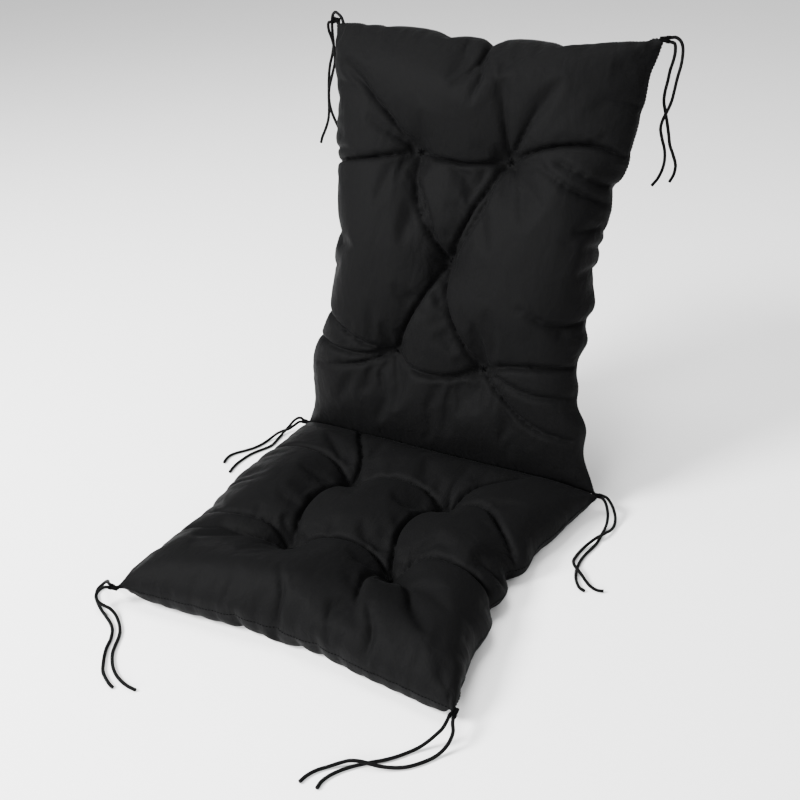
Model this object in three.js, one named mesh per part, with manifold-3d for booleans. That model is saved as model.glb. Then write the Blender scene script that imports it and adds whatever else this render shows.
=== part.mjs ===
// A high-back chair pad: a stuffed seat pad and a stuffed back pad, joined at a sewn fold.
// Millimetres, +Z up. X runs across the pad, +Y towards the back pad.
// The origin is the middle of the seat's underside.
import * as THREE from "three";
import Module from "manifold-3d";
import { mergeVertices } from "three/addons/utils/BufferGeometryUtils.js";

// Overall sizes
const PAD_WIDTH = 500;
const SEAT_DEPTH = 470; // front seam to fold
const BACK_HEIGHT = 630; // fold to top seam, along the back
const BACK_LEAN = 16; // degrees from upright

// Stuffing, measured from the plane of the edge seam
const SEAM_HEIGHT = 28; // the seam above the seat's underside
const SEAT_CROWN = 42;
const BACK_CROWN = 75;
const BACK_REAR = 10;
const SIDE_RUN = 105; // how far in from an edge the stuffing reaches its full height
const SEAT_FOLD_RUN = 150;
const BACK_FOLD_RUN = 172;

// Cloth and seams
const CLOTH = 0.8;
const GAP = 0.3;
const SEAM_ALLOWANCE = 10;
const UNDERSIDE_INSET = 46; // how far in the flat of an underside starts
const SEAM_THREAD = 1.2;
const FOLD_GAP = 3; // from the fold's axis to each pad
const FOLD_THREAD = 2.6;

// Tufts, as places across the pad and along it from the fold
const SEAT_TUFT_SPREAD = 78;
const SEAT_TUFT_REAR = 141;
const SEAT_TUFT_FRONT = 305;
const BACK_TUFT_SPREAD = 70;
const BACK_TUFT_LOWER = 163;
const BACK_TUFT_MIDDLE = 307;
const BACK_TUFT_UPPER = 455;
const SEAT_PIT = 12; // height of a pit's floor over the seam plane
const BACK_PIT = 46;
const PIT_FLOOR = 8; // half width of a pit's flat floor
const PIT_RIM = 46; // half width of the whole pit
const TUFT_THREAD = 3;
const TUFT_KNOT = 9;
const KNOT_THICKNESS = 1.6;

// Ties: a cord folded in two and sewn into each corner
const TIE = 4.5;
const TIE_STEP = 13;
const TIE_CLEARANCE = 0.4; // half the space between two ends that leave side by side
const EXIT_CLEARANCE = 1.3; // from a tack to the ends that leave it, which may turn at once
const TACK_LENGTH = 5;
const TACK_MARGIN = 0.5; // how far a tack stands out past the cords that it holds
const FLOOR_CLEARANCE = 0.25;

const lean = THREE.MathUtils.degToRad(BACK_LEAN);
const half = PAD_WIDTH / 2;
const edge = CLOTH + GAP / 2;

const wasm = await Module();
wasm.setup();

function solid(geometry) {
  const bare = geometry.clone();
  bare.deleteAttribute("normal");
  bare.deleteAttribute("uv");
  const merged = mergeVertices(bare, 1e-4);
  const vertProperties = new Float32Array(merged.attributes.position.array);
  const triVerts = new Uint32Array(merged.index.array);
  return new wasm.Manifold(new wasm.Mesh({ numProp: 3, vertProperties, triVerts }));
}

function geometryOf(manifold) {
  const { vertProperties, triVerts } = manifold.getMesh();
  const geometry = new THREE.BufferGeometry();
  geometry.setAttribute("position", new THREE.BufferAttribute(vertProperties, 3));
  geometry.setIndex(new THREE.BufferAttribute(triVerts, 1));
  const flat = geometry.toNonIndexed();
  flat.computeVertexNormals();
  return flat;
}

const cloth = () => new THREE.MeshStandardMaterial({ color: 0x1b1b1c, roughness: 0.6, metalness: 0 });
const fibre = () => new THREE.MeshStandardMaterial({ color: 0xe9e7e0, roughness: 0.95, metalness: 0 });
const thread = () => new THREE.MeshStandardMaterial({ color: 0x101011, roughness: 0.7, metalness: 0 });
const braid = () => new THREE.MeshStandardMaterial({ color: 0x0c0c0d, roughness: 0.75, metalness: 0 });

function piece(name, geometry, material) {
  const mesh = new THREE.Mesh(geometry, material);
  mesh.name = name;
  return mesh;
}

// Grid lines: the edges, the start of the stuffing, two lines up its slope and those of each tuft.
function gridLines(low, high, slopeLow, slopeHigh, tufts) {
  const lines = [low, low + SEAM_ALLOWANCE, high - SEAM_ALLOWANCE, high];
  for (const share of [0.35, 0.7]) lines.push(low + share * slopeLow, high - share * slopeHigh);
  for (const at of new Set(tufts)) {
    lines.push(at - PIT_RIM, at - PIT_FLOOR, at + PIT_FLOOR, at + PIT_RIM);
  }
  return lines.sort((a, b) => a - b).filter((line, i, all) => i === 0 || line - all[i - 1] > 1);
}

// A sheet of stuff over a grid, closed by a wall round its border: its top and bottom follow
// two height functions.
function layer(xs, ys, top, bottom) {
  const columns = xs.length;
  const count = columns * ys.length;
  const plane = new THREE.PlaneGeometry(1, 1, columns - 1, ys.length - 1);
  const points = [];
  for (const height of [top, bottom]) {
    for (let i = 0; i < count; i++) {
      const x = xs[i % columns];
      const y = ys[ys.length - 1 - Math.floor(i / columns)];
      points.push(x, y, height(x, y));
    }
  }
  const face = [...plane.index.array];
  const index = [...face];
  for (let i = 0; i < face.length; i += 3) {
    index.push(face[i] + count, face[i + 2] + count, face[i + 1] + count);
  }
  const border = [];
  for (let i = 0; i < columns; i++) border.push(i);
  for (let i = 2 * columns - 1; i < count; i += columns) border.push(i);
  for (let i = count - 2; i >= count - columns; i--) border.push(i);
  for (let i = count - 2 * columns; i > 0; i -= columns) border.push(i);
  border.forEach((a, i) => {
    const b = border[(i + 1) % border.length];
    index.push(a, b, a + count, b, b + count, a + count);
  });
  const geometry = new THREE.BufferGeometry();
  geometry.setAttribute("position", new THREE.Float32BufferAttribute(points, 3));
  geometry.setIndex(index);
  return geometry;
}

// A flat-bottomed form whose sides slope in from the seam plane to its underside.
function sloped(low, high, outerInset, innerInset, top, bottom) {
  const middle = (low + high) / 2;
  const form = new THREE.BoxGeometry(2, 2, 1);
  const at = form.attributes.position;
  for (let i = 0; i < at.count; i++) {
    const upper = at.getZ(i) > 0;
    const inset = upper ? outerInset : innerInset;
    const x = at.getX(i) * (half - inset);
    const y = middle + at.getY(i) * ((high - low) / 2 - inset);
    at.setXYZ(i, x, y, upper ? top : bottom);
  }
  return solid(form);
}

const rise = (distance, run) => Math.sin((Math.PI / 2) * THREE.MathUtils.clamp(distance / run, 0, 1));

// One stuffed pad, laid flat with its seam plane at z = 0 and its face up. Its length runs from
// the fold along run times Y.
function stuffedPad({ name, length, run, crown, underside, foldRun, pit, tufts, topName, bottomName }) {
  const group = new THREE.Group();
  const along = [FOLD_GAP, length].map((s) => run * s).sort((a, b) => a - b);
  const [low, high] = along;
  const slopes = run > 0 ? [foldRun, SIDE_RUN] : [SIDE_RUN, foldRun];
  const xs = gridLines(-half, half, SIDE_RUN, SIDE_RUN, tufts.map((t) => t.x));
  const ys = gridLines(low, high, ...slopes, tufts.map((t) => run * t.s));

  function height(x, y) {
    const s = run * y;
    const full = rise(half - Math.abs(x), SIDE_RUN) * rise(s - FOLD_GAP, foldRun);
    let h = crown * full * rise(length - s, SIDE_RUN);
    for (const tuft of tufts) {
      const away = Math.max(Math.abs(x - tuft.x), Math.abs(s - tuft.s));
      const pull = 1 - THREE.MathUtils.smoothstep(away, PIT_FLOOR, PIT_RIM);
      h = THREE.MathUtils.lerp(h, pit, pull);
    }
    return h;
  }

  const flat = -underside;
  const face = solid(layer(xs, ys, (x, y) => edge + height(x, y), (x, y) => GAP / 2 + height(x, y)));
  const slant = SEAM_ALLOWANCE + UNDERSIDE_INSET * 0.12;
  const wall = CLOTH * (1 + UNDERSIDE_INSET / underside);
  const tray = sloped(low, high, 0, UNDERSIDE_INSET, -GAP / 2, flat);
  const hollow = sloped(low, high, 2 * CLOTH, UNDERSIDE_INSET + wall, 0, flat + CLOTH);
  const under = tray.subtract(hollow);
  const inner = (lines) => lines.slice(1, -1);
  const upper = solid(layer(inner(xs), inner(ys), (x, y) => height(x, y) - GAP / 2, () => -GAP));
  const lower = sloped(low, high, slant, UNDERSIDE_INSET + wall + 2, 0, flat + CLOTH + GAP);
  const stuffing = upper.add(lower);

  const shaft = TUFT_THREAD / 2;
  const holes = tufts.map(({ x, s }) => {
    const reach = crown + underside + 20;
    const hole = new THREE.CylinderGeometry(shaft + GAP, shaft + GAP, reach, 8);
    return solid(hole.rotateX(Math.PI / 2).translate(x, run * s, (crown - underside) / 2));
  });
  const pierced = (part) => geometryOf(holes.reduce((rest, hole) => rest.subtract(hole), part));
  group.add(piece(topName, pierced(face), cloth()));
  group.add(piece(bottomName, pierced(under), cloth()));
  group.add(piece(`${name}_filling`, pierced(stuffing), fibre()));

  for (const { label, x, s } of tufts) {
    const knot = edge + pit + GAP;
    const profile = [
      [0, flat + GAP],
      [shaft, flat + GAP],
      [shaft, knot],
      [TUFT_KNOT / 2, knot],
      [TUFT_KNOT / 2, knot + KNOT_THICKNESS],
      [0, knot + KNOT_THICKNESS],
    ];
    const stitch = new THREE.LatheGeometry(profile.map(([r, z]) => new THREE.Vector2(r, z)), 8);
    const mesh = piece(`${name}_tuft_${label}`, stitch.rotateX(Math.PI / 2), thread());
    mesh.position.set(x, run * s, 0);
    group.add(mesh);
  }

  // The edge seam runs round three sides, from one end of the fold to the other.
  const near = run * FOLD_GAP;
  const far = run * (length + GAP);
  const outside = run * (length + GAP + SEAM_THREAD);
  const side = half + GAP;
  const wide = side + SEAM_THREAD;
  const outline = new THREE.Shape([
    new THREE.Vector2(-wide, near),
    new THREE.Vector2(-wide, outside),
    new THREE.Vector2(wide, outside),
    new THREE.Vector2(wide, near),
    new THREE.Vector2(side, near),
    new THREE.Vector2(side, far),
    new THREE.Vector2(-side, far),
    new THREE.Vector2(-side, near),
  ]);
  const seam = new THREE.ExtrudeGeometry(outline, { depth: SEAM_THREAD, bevelEnabled: false });
  group.add(piece(`${name}_edge_seam`, seam.translate(0, 0, -SEAM_THREAD / 2), thread()));
  return group;
}

const pair = (spread, s, row) => [
  { label: `${row}_left`, x: -spread, s },
  { label: `${row}_right`, x: spread, s },
];

const seat = stuffedPad({
  name: "seat",
  topName: "seat_top_panel",
  bottomName: "seat_bottom_panel",
  length: SEAT_DEPTH,
  run: -1,
  crown: SEAT_CROWN,
  underside: SEAM_HEIGHT,
  foldRun: SEAT_FOLD_RUN,
  pit: SEAT_PIT,
  tufts: [
    ...pair(SEAT_TUFT_SPREAD, SEAT_TUFT_REAR, "rear"),
    ...pair(SEAT_TUFT_SPREAD, SEAT_TUFT_FRONT, "front"),
  ],
});
const fold = new THREE.Vector3(0, SEAT_DEPTH / 2, SEAM_HEIGHT);
seat.position.copy(fold);

const back = stuffedPad({
  name: "back",
  topName: "back_front_panel",
  bottomName: "back_rear_panel",
  length: BACK_HEIGHT,
  run: 1,
  crown: BACK_CROWN,
  underside: BACK_REAR,
  foldRun: BACK_FOLD_RUN,
  pit: BACK_PIT,
  tufts: [
    ...pair(BACK_TUFT_SPREAD, BACK_TUFT_LOWER, "lower"),
    { label: "middle", x: 0, s: BACK_TUFT_MIDDLE },
    ...pair(BACK_TUFT_SPREAD, BACK_TUFT_UPPER, "upper"),
  ],
});
back.position.copy(fold);
back.rotation.x = Math.PI / 2 - lean;

// The stitched line that joins the two pads, on the axis that the back folds about.
const foldSeam = piece(
  "fold_seam",
  new THREE.CylinderGeometry(FOLD_THREAD / 2, FOLD_THREAD / 2, PAD_WIDTH, 8).rotateZ(Math.PI / 2),
  thread(),
);
foldSeam.position.copy(fold);

// A stitched block at a corner, which holds the middle of a tie. It points away from the pad.
const tackOffset = 2 * GAP + SEAM_THREAD;
function cornerTack(name, corner, outwards, tilt) {
  const width = 2 * (TIE + TIE_CLEARANCE + TACK_MARGIN);
  const box = new THREE.BoxGeometry(TACK_LENGTH, width, TIE + 2 * TACK_MARGIN);
  const mesh = piece(name, box, thread());
  mesh.position.copy(corner).addScaledVector(outwards, tackOffset + TACK_LENGTH / 2);
  mesh.rotation.set(tilt, 0, Math.atan2(outwards.y, outwards.x));
  return mesh;
}

// The two ends leave the outer face of a tack side by side, across it.
function tieExit(corner, outwards, across, end) {
  const side = end === "a" ? 1 : -1;
  return corner
    .clone()
    .addScaledVector(outwards, tackOffset + TACK_LENGTH + EXIT_CLEARANCE)
    .addScaledVector(across, side * (TIE / 2 + TIE_CLEARANCE));
}

const frontY = -SEAT_DEPTH / 2;
const corners = {
  front_left: new THREE.Vector3(-half, frontY, SEAM_HEIGHT),
  front_right: new THREE.Vector3(half, frontY, SEAM_HEIGHT),
  fold_left: new THREE.Vector3(-half, fold.y, SEAM_HEIGHT),
  fold_right: new THREE.Vector3(half, fold.y, SEAM_HEIGHT),
  top_left: new THREE.Vector3(-half, 0, 0),
  top_right: new THREE.Vector3(half, 0, 0),
};
for (const corner of [corners.top_left, corners.top_right]) {
  corner.y = fold.y + BACK_HEIGHT * Math.sin(lean);
  corner.z = fold.z + BACK_HEIGHT * Math.cos(lean);
}

// Ties that lie on the surface under the seat: places from their corner after they leave its tack,
// how high they are, from 0 on the surface to 1 at the seam, and how many thicknesses of cord they
// rise to pass over the other end.
const lyingTies = {
  front_left: {
    a: [
      [-13, 4.5, 0.98], [-22, 12, 0.77], [-32, 17, 0.46], [-39, 16, 0.2], [-42, 10, 0.05],
      [-39, 3, 0], [-32, -5, 0], [-22, -12.5, 0], [-8, -21, 0], [6, -28, 0], [18.5, -34.5, 0],
      [29, -42, 0], [36.5, -51, 0], [42.5, -61, 0], [47, -72, 0], [54, -84, 0],
      [62, -95, 0], [72, -107, 0], [84, -115, 0], [96, -121, 0], [102, -123, 0],
    ],
    b: [
      [-13, -4.5, 0.97], [-17.5, -10, 0.87], [-17, -17.5, 0.7], [-11, -21, 0.54],
      [-3, -20.5, 0.4], [6, -19, 0.26], [16, -21, 0.09], [26.5, -27.5, 0], [36, -35.5, 0],
      [44, -44.5, 0], [50, -55, 0], [55, -66, 0], [61, -77, 0], [70, -88, 0], [81, -98, 0],
      [93, -105.5, 0], [107, -111, 0], [119, -113.5, 0], [130, -114, 0],
    ],
  },
  front_right: {
    a: [
      [-2.5, -14, 0.94], [-4, -21, 0.77], [-9.5, -27.5, 0.5], [-16, -34.5, 0.24],
      [-23, -43, 0.06], [-31, -53, 0], [-40, -64.5, 0], [-50.5, -75, 0], [-61, -83.5, 0],
      [-70, -91.5, 0], [-79, -100.5, 0], [-87, -110.5, 0], [-93, -121, 0], [-96, -131, 0],
      [-95.5, -140, 0],
    ],
    b: [
      [4.5, -13, 0.91], [8, -19.5, 0.7], [7.5, -27, 0.42], [4, -35.5, 0.16],
      [-1, -44.5, 0.02], [-7, -54, 0], [-15, -64, 0], [-25, -73.5, 0, 0.05], [-37, -81, 0, 0.3],
      [-49, -86.5, 0, 0.7], [-60, -89.5, 0, 1.05], [-70, -91.5, 0, 1.15], [-80.5, -95, 0, 1],
      [-90, -101, 0, 0.5], [-100, -109.5, 0], [-108.5, -119, 0], [-114.5, -130, 0],
      [-117, -141, 0],
    ],
  },
  fold_left: {
    a: [
      [-14, 4, 1.08], [-22, 5, 0.96], [-30, 4, 0.69], [-36, 0, 0.37], [-40, -8, 0.14],
      [-41, -18, 0.02], [-40, -30, 0], [-38, -43, 0], [-38, -55, 0], [-43, -67, 0],
      [-49, -79, 0], [-54, -93, 0], [-56, -107, 0], [-57, -121, 0], [-56, -134, 0],
      [-53, -147, 0],
    ],
    b: [
      [-12.5, -4.8, 0.98], [-18.5, -12.5, 0.8], [-26, -19.5, 0.6], [-35, -22.5, 0.46],
      [-43.5, -26, 0.26], [-49.5, -33.5, 0.08], [-52.5, -44, 0], [-55, -59, 0], [-61, -74, 0],
      [-70, -87, 0], [-78, -98, 0], [-82, -109, 0], [-81, -120, 0], [-78, -128, 0],
    ],
  },
  fold_right: {
    a: [
      [14.5, 1.8, 0.96], [23, -3, 0.77], [30, -9, 0.5], [35, -17, 0.23], [37, -27, 0.05, 0.1],
      [37, -38, 0, 0.4], [34.5, -49, 0, 0.8], [30.5, -60, 0, 1.15], [25.5, -71, 0, 1.15],
      [20, -83, 0, 0.7], [15.5, -95, 0, 0.2], [13, -108, 0], [12.5, -119, 0, 0.1],
      [14, -130, 0, 0.6], [19, -140, 0, 1.1], [26.5, -147.5, 0, 1.15], [35, -154, 0, 0.7],
      [43.5, -161, 0, 0.2], [53, -168, 0], [63, -171, 0], [71, -169, 0],
    ],
    b: [
      [14, -5.2, 0.9], [20, -12, 0.69], [24.5, -20, 0.42], [27, -30, 0.18], [27.5, -41, 0.04],
      [27.5, -53, 0], [28, -65, 0], [28, -77, 0], [26, -90, 0], [23, -104, 0], [21.5, -118, 0],
      [22, -132, 0], [24, -145, 0], [28, -158, 0], [34, -169, 0], [41, -177, 0],
      [48, -179.5, 0],
    ],
  },
};

// Ties that hang from the top corners, as places from their corner. The first end at the left is
// sewn to the front of the ear and passes over its tip, and the others leave from a tack.
const hangingTies = {
  top_left: {
    a: [
      [19, -9, -3], [14, -6.5, 5.5], [6, -2, 9.5], [-3, 4, 10.5], [-10.5, 8.5, 5],
      [-13.5, 10, -6], [-14, 10, -22], [-13.5, 10, -38], [-17, 10, -53], [-22.5, 10, -69],
      [-26, 10, -86], [-28, 10, -104], [-29.5, 10, -122], [-30.5, 10, -140], [-34, 10, -157],
      [-40.5, 10, -172], [-47, 10, -184], [-50.5, 10, -193.5],
    ],
    b: [
      [-13, -0.6, -4.5], [-14.5, 0.5, -14], [-11, 2.5, -28], [-9, 4, -43],
      [-9, 4, -59], [-13, 4, -74], [-18.5, 4, -89], [-23.5, 4, -105], [-25, 4, -122],
      [-22.5, 4, -138], [-16, 4, -154], [-9, 4, -169], [-4, 4, -185], [-2, 4, -201],
    ],
  },
  top_right: {
    a: [
      [13, 1.6, 3], [19, 3.5, -1], [22.5, 4, -8], [23.5, 4, -18], [22.5, 4, -32],
      [19, 4, -49], [16.5, 4, -65], [14, 4, -79], [9.5, 4, -92], [4.5, 4, -104], [2, 4, -116],
      [5, 4, -130], [9.5, 4, -144], [11, 4, -158], [9, 4, -172], [3.5, 4, -186], [-4, 4, -197],
    ],
    b: [
      [12.5, 0.6, -4.5], [13, 5.5, -13.5], [10.5, 10, -27], [7, 10, -41],
      [5, 10, -55], [2.5, 10, -69], [2, 10, -82], [5, 10, -95], [8.5, 10, -109],
      [12, 10, -125], [15, 10, -140], [20.5, 10, -153], [25, 10, -167], [23.5, 10, -180],
      [18.5, 10, -191],
    ],
  },
};

// A round cord along a smooth curve through its points.
function tie(name, points) {
  const curve = new THREE.CatmullRomCurve3(points, false, "centripetal");
  const ring = new THREE.Shape();
  for (let i = 0; i < 8; i++) {
    const turn = (i + 0.5) * (Math.PI / 4);
    const step = i === 0 ? "moveTo" : "lineTo";
    ring[step]((TIE / 2) * Math.cos(turn), (TIE / 2) * Math.sin(turn));
  }
  const steps = Math.round(curve.getLength() / TIE_STEP);
  return piece(name, new THREE.ExtrudeGeometry(ring, { steps, extrudePath: curve }), braid());
}

const restingHeight = TIE / 2 + FLOOR_CLEARANCE;
const pointsOut = (place) => {
  if (place === "front_right") return new THREE.Vector3(0, -1, 0);
  return new THREE.Vector3(place.endsWith("left") ? -1 : 1, 0, 0);
};
const tilts = (place) => (place.startsWith("top") ? Math.PI / 2 - lean : 0);

const corded = new THREE.Group();
for (const [place, corner] of Object.entries(corners)) {
  const outwards = pointsOut(place);
  const tilt = tilts(place);
  corded.add(cornerTack(`corner_tack_${place}`, corner, outwards, tilt));
  const across = outwards.x ? new THREE.Vector3(0, Math.cos(tilt), Math.sin(tilt)) : new THREE.Vector3(-1, 0, 0);
  const lying = lyingTies[place];
  for (const [end, route] of Object.entries(lying ?? hangingTies[place])) {
    const points = route.map(([dx, dy, third, over = 0]) => {
      if (!lying) return new THREE.Vector3(dx, dy, third).add(corner);
      const z = THREE.MathUtils.lerp(restingHeight, corner.z, third) + over * TIE;
      return new THREE.Vector3(corner.x + dx, corner.y + dy, z);
    });
    if (place !== "top_left" || end !== "a") points.unshift(tieExit(corner, outwards, across, end));
    corded.add(tie(`tie_${place}_${end}`, points));
  }
}

const group = new THREE.Group();
group.add(seat, back, foldSeam, corded);

export default group;
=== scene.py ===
"""A high-back chair pad: two stuffed, tufted pads joined at a sewn fold, with ties at the corners.

Metres, +Z up. X runs across the pad and +Y towards the back pad. The origin is the middle of the
seat's underside, and the fold's axis lies along X.
"""

import math
import random

import bmesh
import bpy
import numpy as np
from mathutils import Matrix, Vector


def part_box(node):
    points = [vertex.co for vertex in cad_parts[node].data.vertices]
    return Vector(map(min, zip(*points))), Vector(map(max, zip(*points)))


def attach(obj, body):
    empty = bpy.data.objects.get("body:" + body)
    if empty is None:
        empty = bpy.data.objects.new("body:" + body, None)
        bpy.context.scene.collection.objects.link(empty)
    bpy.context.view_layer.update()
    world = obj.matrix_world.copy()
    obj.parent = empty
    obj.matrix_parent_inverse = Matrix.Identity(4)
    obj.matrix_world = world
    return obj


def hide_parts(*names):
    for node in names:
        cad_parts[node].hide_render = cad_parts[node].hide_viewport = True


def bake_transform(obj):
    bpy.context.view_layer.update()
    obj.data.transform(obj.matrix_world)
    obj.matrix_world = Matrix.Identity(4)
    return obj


bl_info = {
    "name": "High-Back Chair Pad",
    "version": (1, 0, 0),
    "blender": (4, 5, 0),
    "location": "3D View > Sidebar > Chair Pad",
    "description": "Makes a stuffed, tufted chair pad with a folding back and corner ties",
    "category": "Add Mesh",
}

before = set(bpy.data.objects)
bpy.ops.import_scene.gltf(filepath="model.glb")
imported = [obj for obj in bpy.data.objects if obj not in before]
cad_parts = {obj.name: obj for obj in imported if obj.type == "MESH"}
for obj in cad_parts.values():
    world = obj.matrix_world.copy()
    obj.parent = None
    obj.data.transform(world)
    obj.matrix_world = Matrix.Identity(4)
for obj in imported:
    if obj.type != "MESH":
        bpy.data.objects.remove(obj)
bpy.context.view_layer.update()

# The pad's fixed places
HALF_WIDTH = 0.25
SEAT_DEPTH = 0.47
BACK_HEIGHT = 0.63
LEAN = math.radians(16)
FOLD = Vector((0, 0.235, 0.028))
UP_THE_BACK = Vector((0, math.sin(LEAN), math.cos(LEAN)))
OUT_OF_THE_BACK = Vector((0, -math.cos(LEAN), math.sin(LEAN)))
FOLD_GAP = 0.0006
TIE_RADIUS = 0.00225
TIE_RESTING_HEIGHT = 0.0025

# Tufts, as places across a pad and along it from the fold
SEAT_TUFTS = {
    "rear_left": (-0.078, 0.141),
    "rear_right": (0.078, 0.141),
    "front_left": (-0.078, 0.305),
    "front_right": (0.078, 0.305),
}
BACK_TUFTS = {
    "lower_left": (-0.07, 0.163),
    "lower_right": (0.07, 0.163),
    "middle": (0.0, 0.307),
    "upper_left": (-0.07, 0.455),
    "upper_right": (0.07, 0.455),
}

# Creases, as places across a pad and along it from the fold, then how hard each end is drawn in
SEAT_CREASES = (
    (((-0.078, 0.141), (-0.03, 0.128), (0.03, 0.127), (0.078, 0.141)), 1, 1),
    (((-0.078, 0.305), (-0.03, 0.288), (0.03, 0.286), (0.078, 0.305)), 1, 1),
    (((-0.078, 0.141), (-0.094, 0.2), (-0.092, 0.25), (-0.078, 0.305)), 1, 1),
    (((0.078, 0.141), (0.058, 0.19), (0.056, 0.24), (0.078, 0.305)), 1, 1),
    (((-0.078, 0.141), (-0.085, 0.1), (-0.12, 0.045), (-0.135, 0.02)), 1, 0.6),
    (((-0.078, 0.141), (-0.13, 0.12), (-0.175, 0.118), (-0.235, 0.125)), 0.9, 0.7),
    (((-0.078, 0.305), (-0.12, 0.29), (-0.17, 0.3), (-0.21, 0.31)), 1, 0.3),
    (((-0.078, 0.305), (-0.12, 0.325), (-0.165, 0.335)), 0.9, 0.1),
    (((0.078, 0.141), (0.105, 0.09), (0.15, 0.045)), 1, 0.4),
    (((0.078, 0.141), (0.07, 0.1), (0.075, 0.075)), 0.9, 0.1),
    (((0.078, 0.141), (0.14, 0.145), (0.185, 0.18), (0.24, 0.212)), 1, 1),
    (((0.078, 0.305), (0.12, 0.272), (0.17, 0.276), (0.24, 0.29)), 1, 1),
    (((0.078, 0.305), (0.062, 0.345), (0.08, 0.405)), 1, 0.3),
    (((0.078, 0.305), (0.115, 0.335), (0.145, 0.38)), 0.9, 0.1),
    (((0.1, 0.405), (0.12, 0.435), (0.125, 0.47)), 0.2, 0.6),
    (((0.06, 0.43), (0.075, 0.47)), 0.1, 0.6),
    (((-0.03, 0.4), (-0.01, 0.43), (-0.005, 0.47)), 0.2, 0.6),
    (((-0.075, 0.43), (-0.085, 0.47)), 0.1, 0.5),
    (((0.19, 0.25), (0.245, 0.255)), 0.2, 0.8),
    (((-0.25, 0.235), (-0.19, 0.225)), 0.8, 0.2),
    (((-0.25, 0.375), (-0.185, 0.35)), 0.7, 0.1),
)
BACK_CREASES = (
    (((-0.07, 0.455), (0.0, 0.45), (0.07, 0.455)), 1, 1),
    (((-0.07, 0.455), (-0.15, 0.437), (-0.24, 0.427)), 1, 0.9),
    (((-0.19, 0.452), (-0.24, 0.45)), 0.2, 0.9),
    (((0.07, 0.455), (0.13, 0.478), (0.19, 0.487), (0.245, 0.478)), 1, 1),
    (((-0.07, 0.455), (-0.115, 0.5), (-0.16, 0.54)), 1, 0.3),
    (((-0.07, 0.455), (-0.13, 0.485)), 1, 0.1),
    (((0.07, 0.455), (0.06, 0.54)), 1, 0.2),
    (((0.07, 0.455), (0.108, 0.53)), 1, 0.2),
    (((0.015, 0.625), (0.012, 0.59), (-0.012, 0.555)), 1, 0.2),
    (((0.015, 0.6), (0.022, 0.57), (0.015, 0.53)), 0.8, 0.1),
    (((0.02, 0.6), (0.05, 0.56)), 0.7, 0.1),
    (((0.07, 0.455), (0.035, 0.39), (0.0, 0.307)), 1, 1),
    (((0.058, 0.44), (0.05, 0.385), (0.012, 0.315)), 0.9, 0.6),
    (((-0.07, 0.455), (-0.058, 0.385), (0.0, 0.307)), 0.7, 1),
    (((-0.066, 0.42), (-0.036, 0.37), (-0.02, 0.335)), 0.4, 0.7),
    (((0.0, 0.307), (-0.04, 0.235), (-0.07, 0.163)), 1, 1),
    (((0.0, 0.307), (0.012, 0.255), (0.045, 0.195), (0.07, 0.163)), 1, 1),
    (((-0.07, 0.163), (-0.03, 0.144), (0.03, 0.146), (0.07, 0.163)), 1, 1),
    (((-0.07, 0.163), (-0.13, 0.178), (-0.2, 0.21)), 1, 0.7),
    (((-0.07, 0.163), (-0.14, 0.155), (-0.235, 0.163)), 1, 0.9),
    (((-0.07, 0.163), (-0.13, 0.138), (-0.205, 0.12)), 1, 0.3),
    (((0.07, 0.163), (0.13, 0.182), (0.235, 0.186)), 1, 1),
    (((0.07, 0.163), (0.105, 0.135), (0.15, 0.1), (0.21, 0.082)), 1, 0.7),
    (((0.1, 0.16), (0.16, 0.145), (0.23, 0.145)), 0.7, 0.5),
    (((0.15, 0.455), (0.2, 0.44), (0.245, 0.437)), 0.6, 1),
    (((0.125, 0.45), (0.17, 0.425), (0.225, 0.412)), 0.5, 0.8),
    (((0.07, 0.455), (0.105, 0.425)), 1, 0.1),
    (((0.19, 0.37), (0.24, 0.385)), 0.2, 0.8),
    (((0.13, 0.265), (0.18, 0.245), (0.235, 0.25)), 0.3, 0.9),
    (((-0.24, 0.335), (-0.19, 0.32)), 0.8, 0.1),
    (((-0.24, 0.275), (-0.195, 0.265)), 0.8, 0.1),
    (((0.2, 0.55), (0.24, 0.545)), 0.2, 0.9),
    (((-0.09, 0.13), (-0.075, 0.095)), 0.6, 0.1),
)

CORNERS = {
    "front_left": Vector((-HALF_WIDTH, FOLD.y - SEAT_DEPTH, FOLD.z)),
    "front_right": Vector((HALF_WIDTH, FOLD.y - SEAT_DEPTH, FOLD.z)),
    "fold_left": Vector((-HALF_WIDTH, FOLD.y, FOLD.z)),
    "fold_right": Vector((HALF_WIDTH, FOLD.y, FOLD.z)),
    "top_left": FOLD + UP_THE_BACK * BACK_HEIGHT - Vector((HALF_WIDTH, 0, 0)),
    "top_right": FOLD + UP_THE_BACK * BACK_HEIGHT + Vector((HALF_WIDTH, 0, 0)),
}

# How far each drawn line draws the cloth in, and how far the cloth may move as it settles
CREASE_WIDTH = 0.004
PUCKER_WIDTH = 0.0055
PUCKER_DEPTH = 0.0065
REAR_PUCKER_DEPTH = 0.004
TUFT_REACH = 0.026
CREASE_DROP = 0.0032
FILLING_SHARE = 0.45

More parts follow.
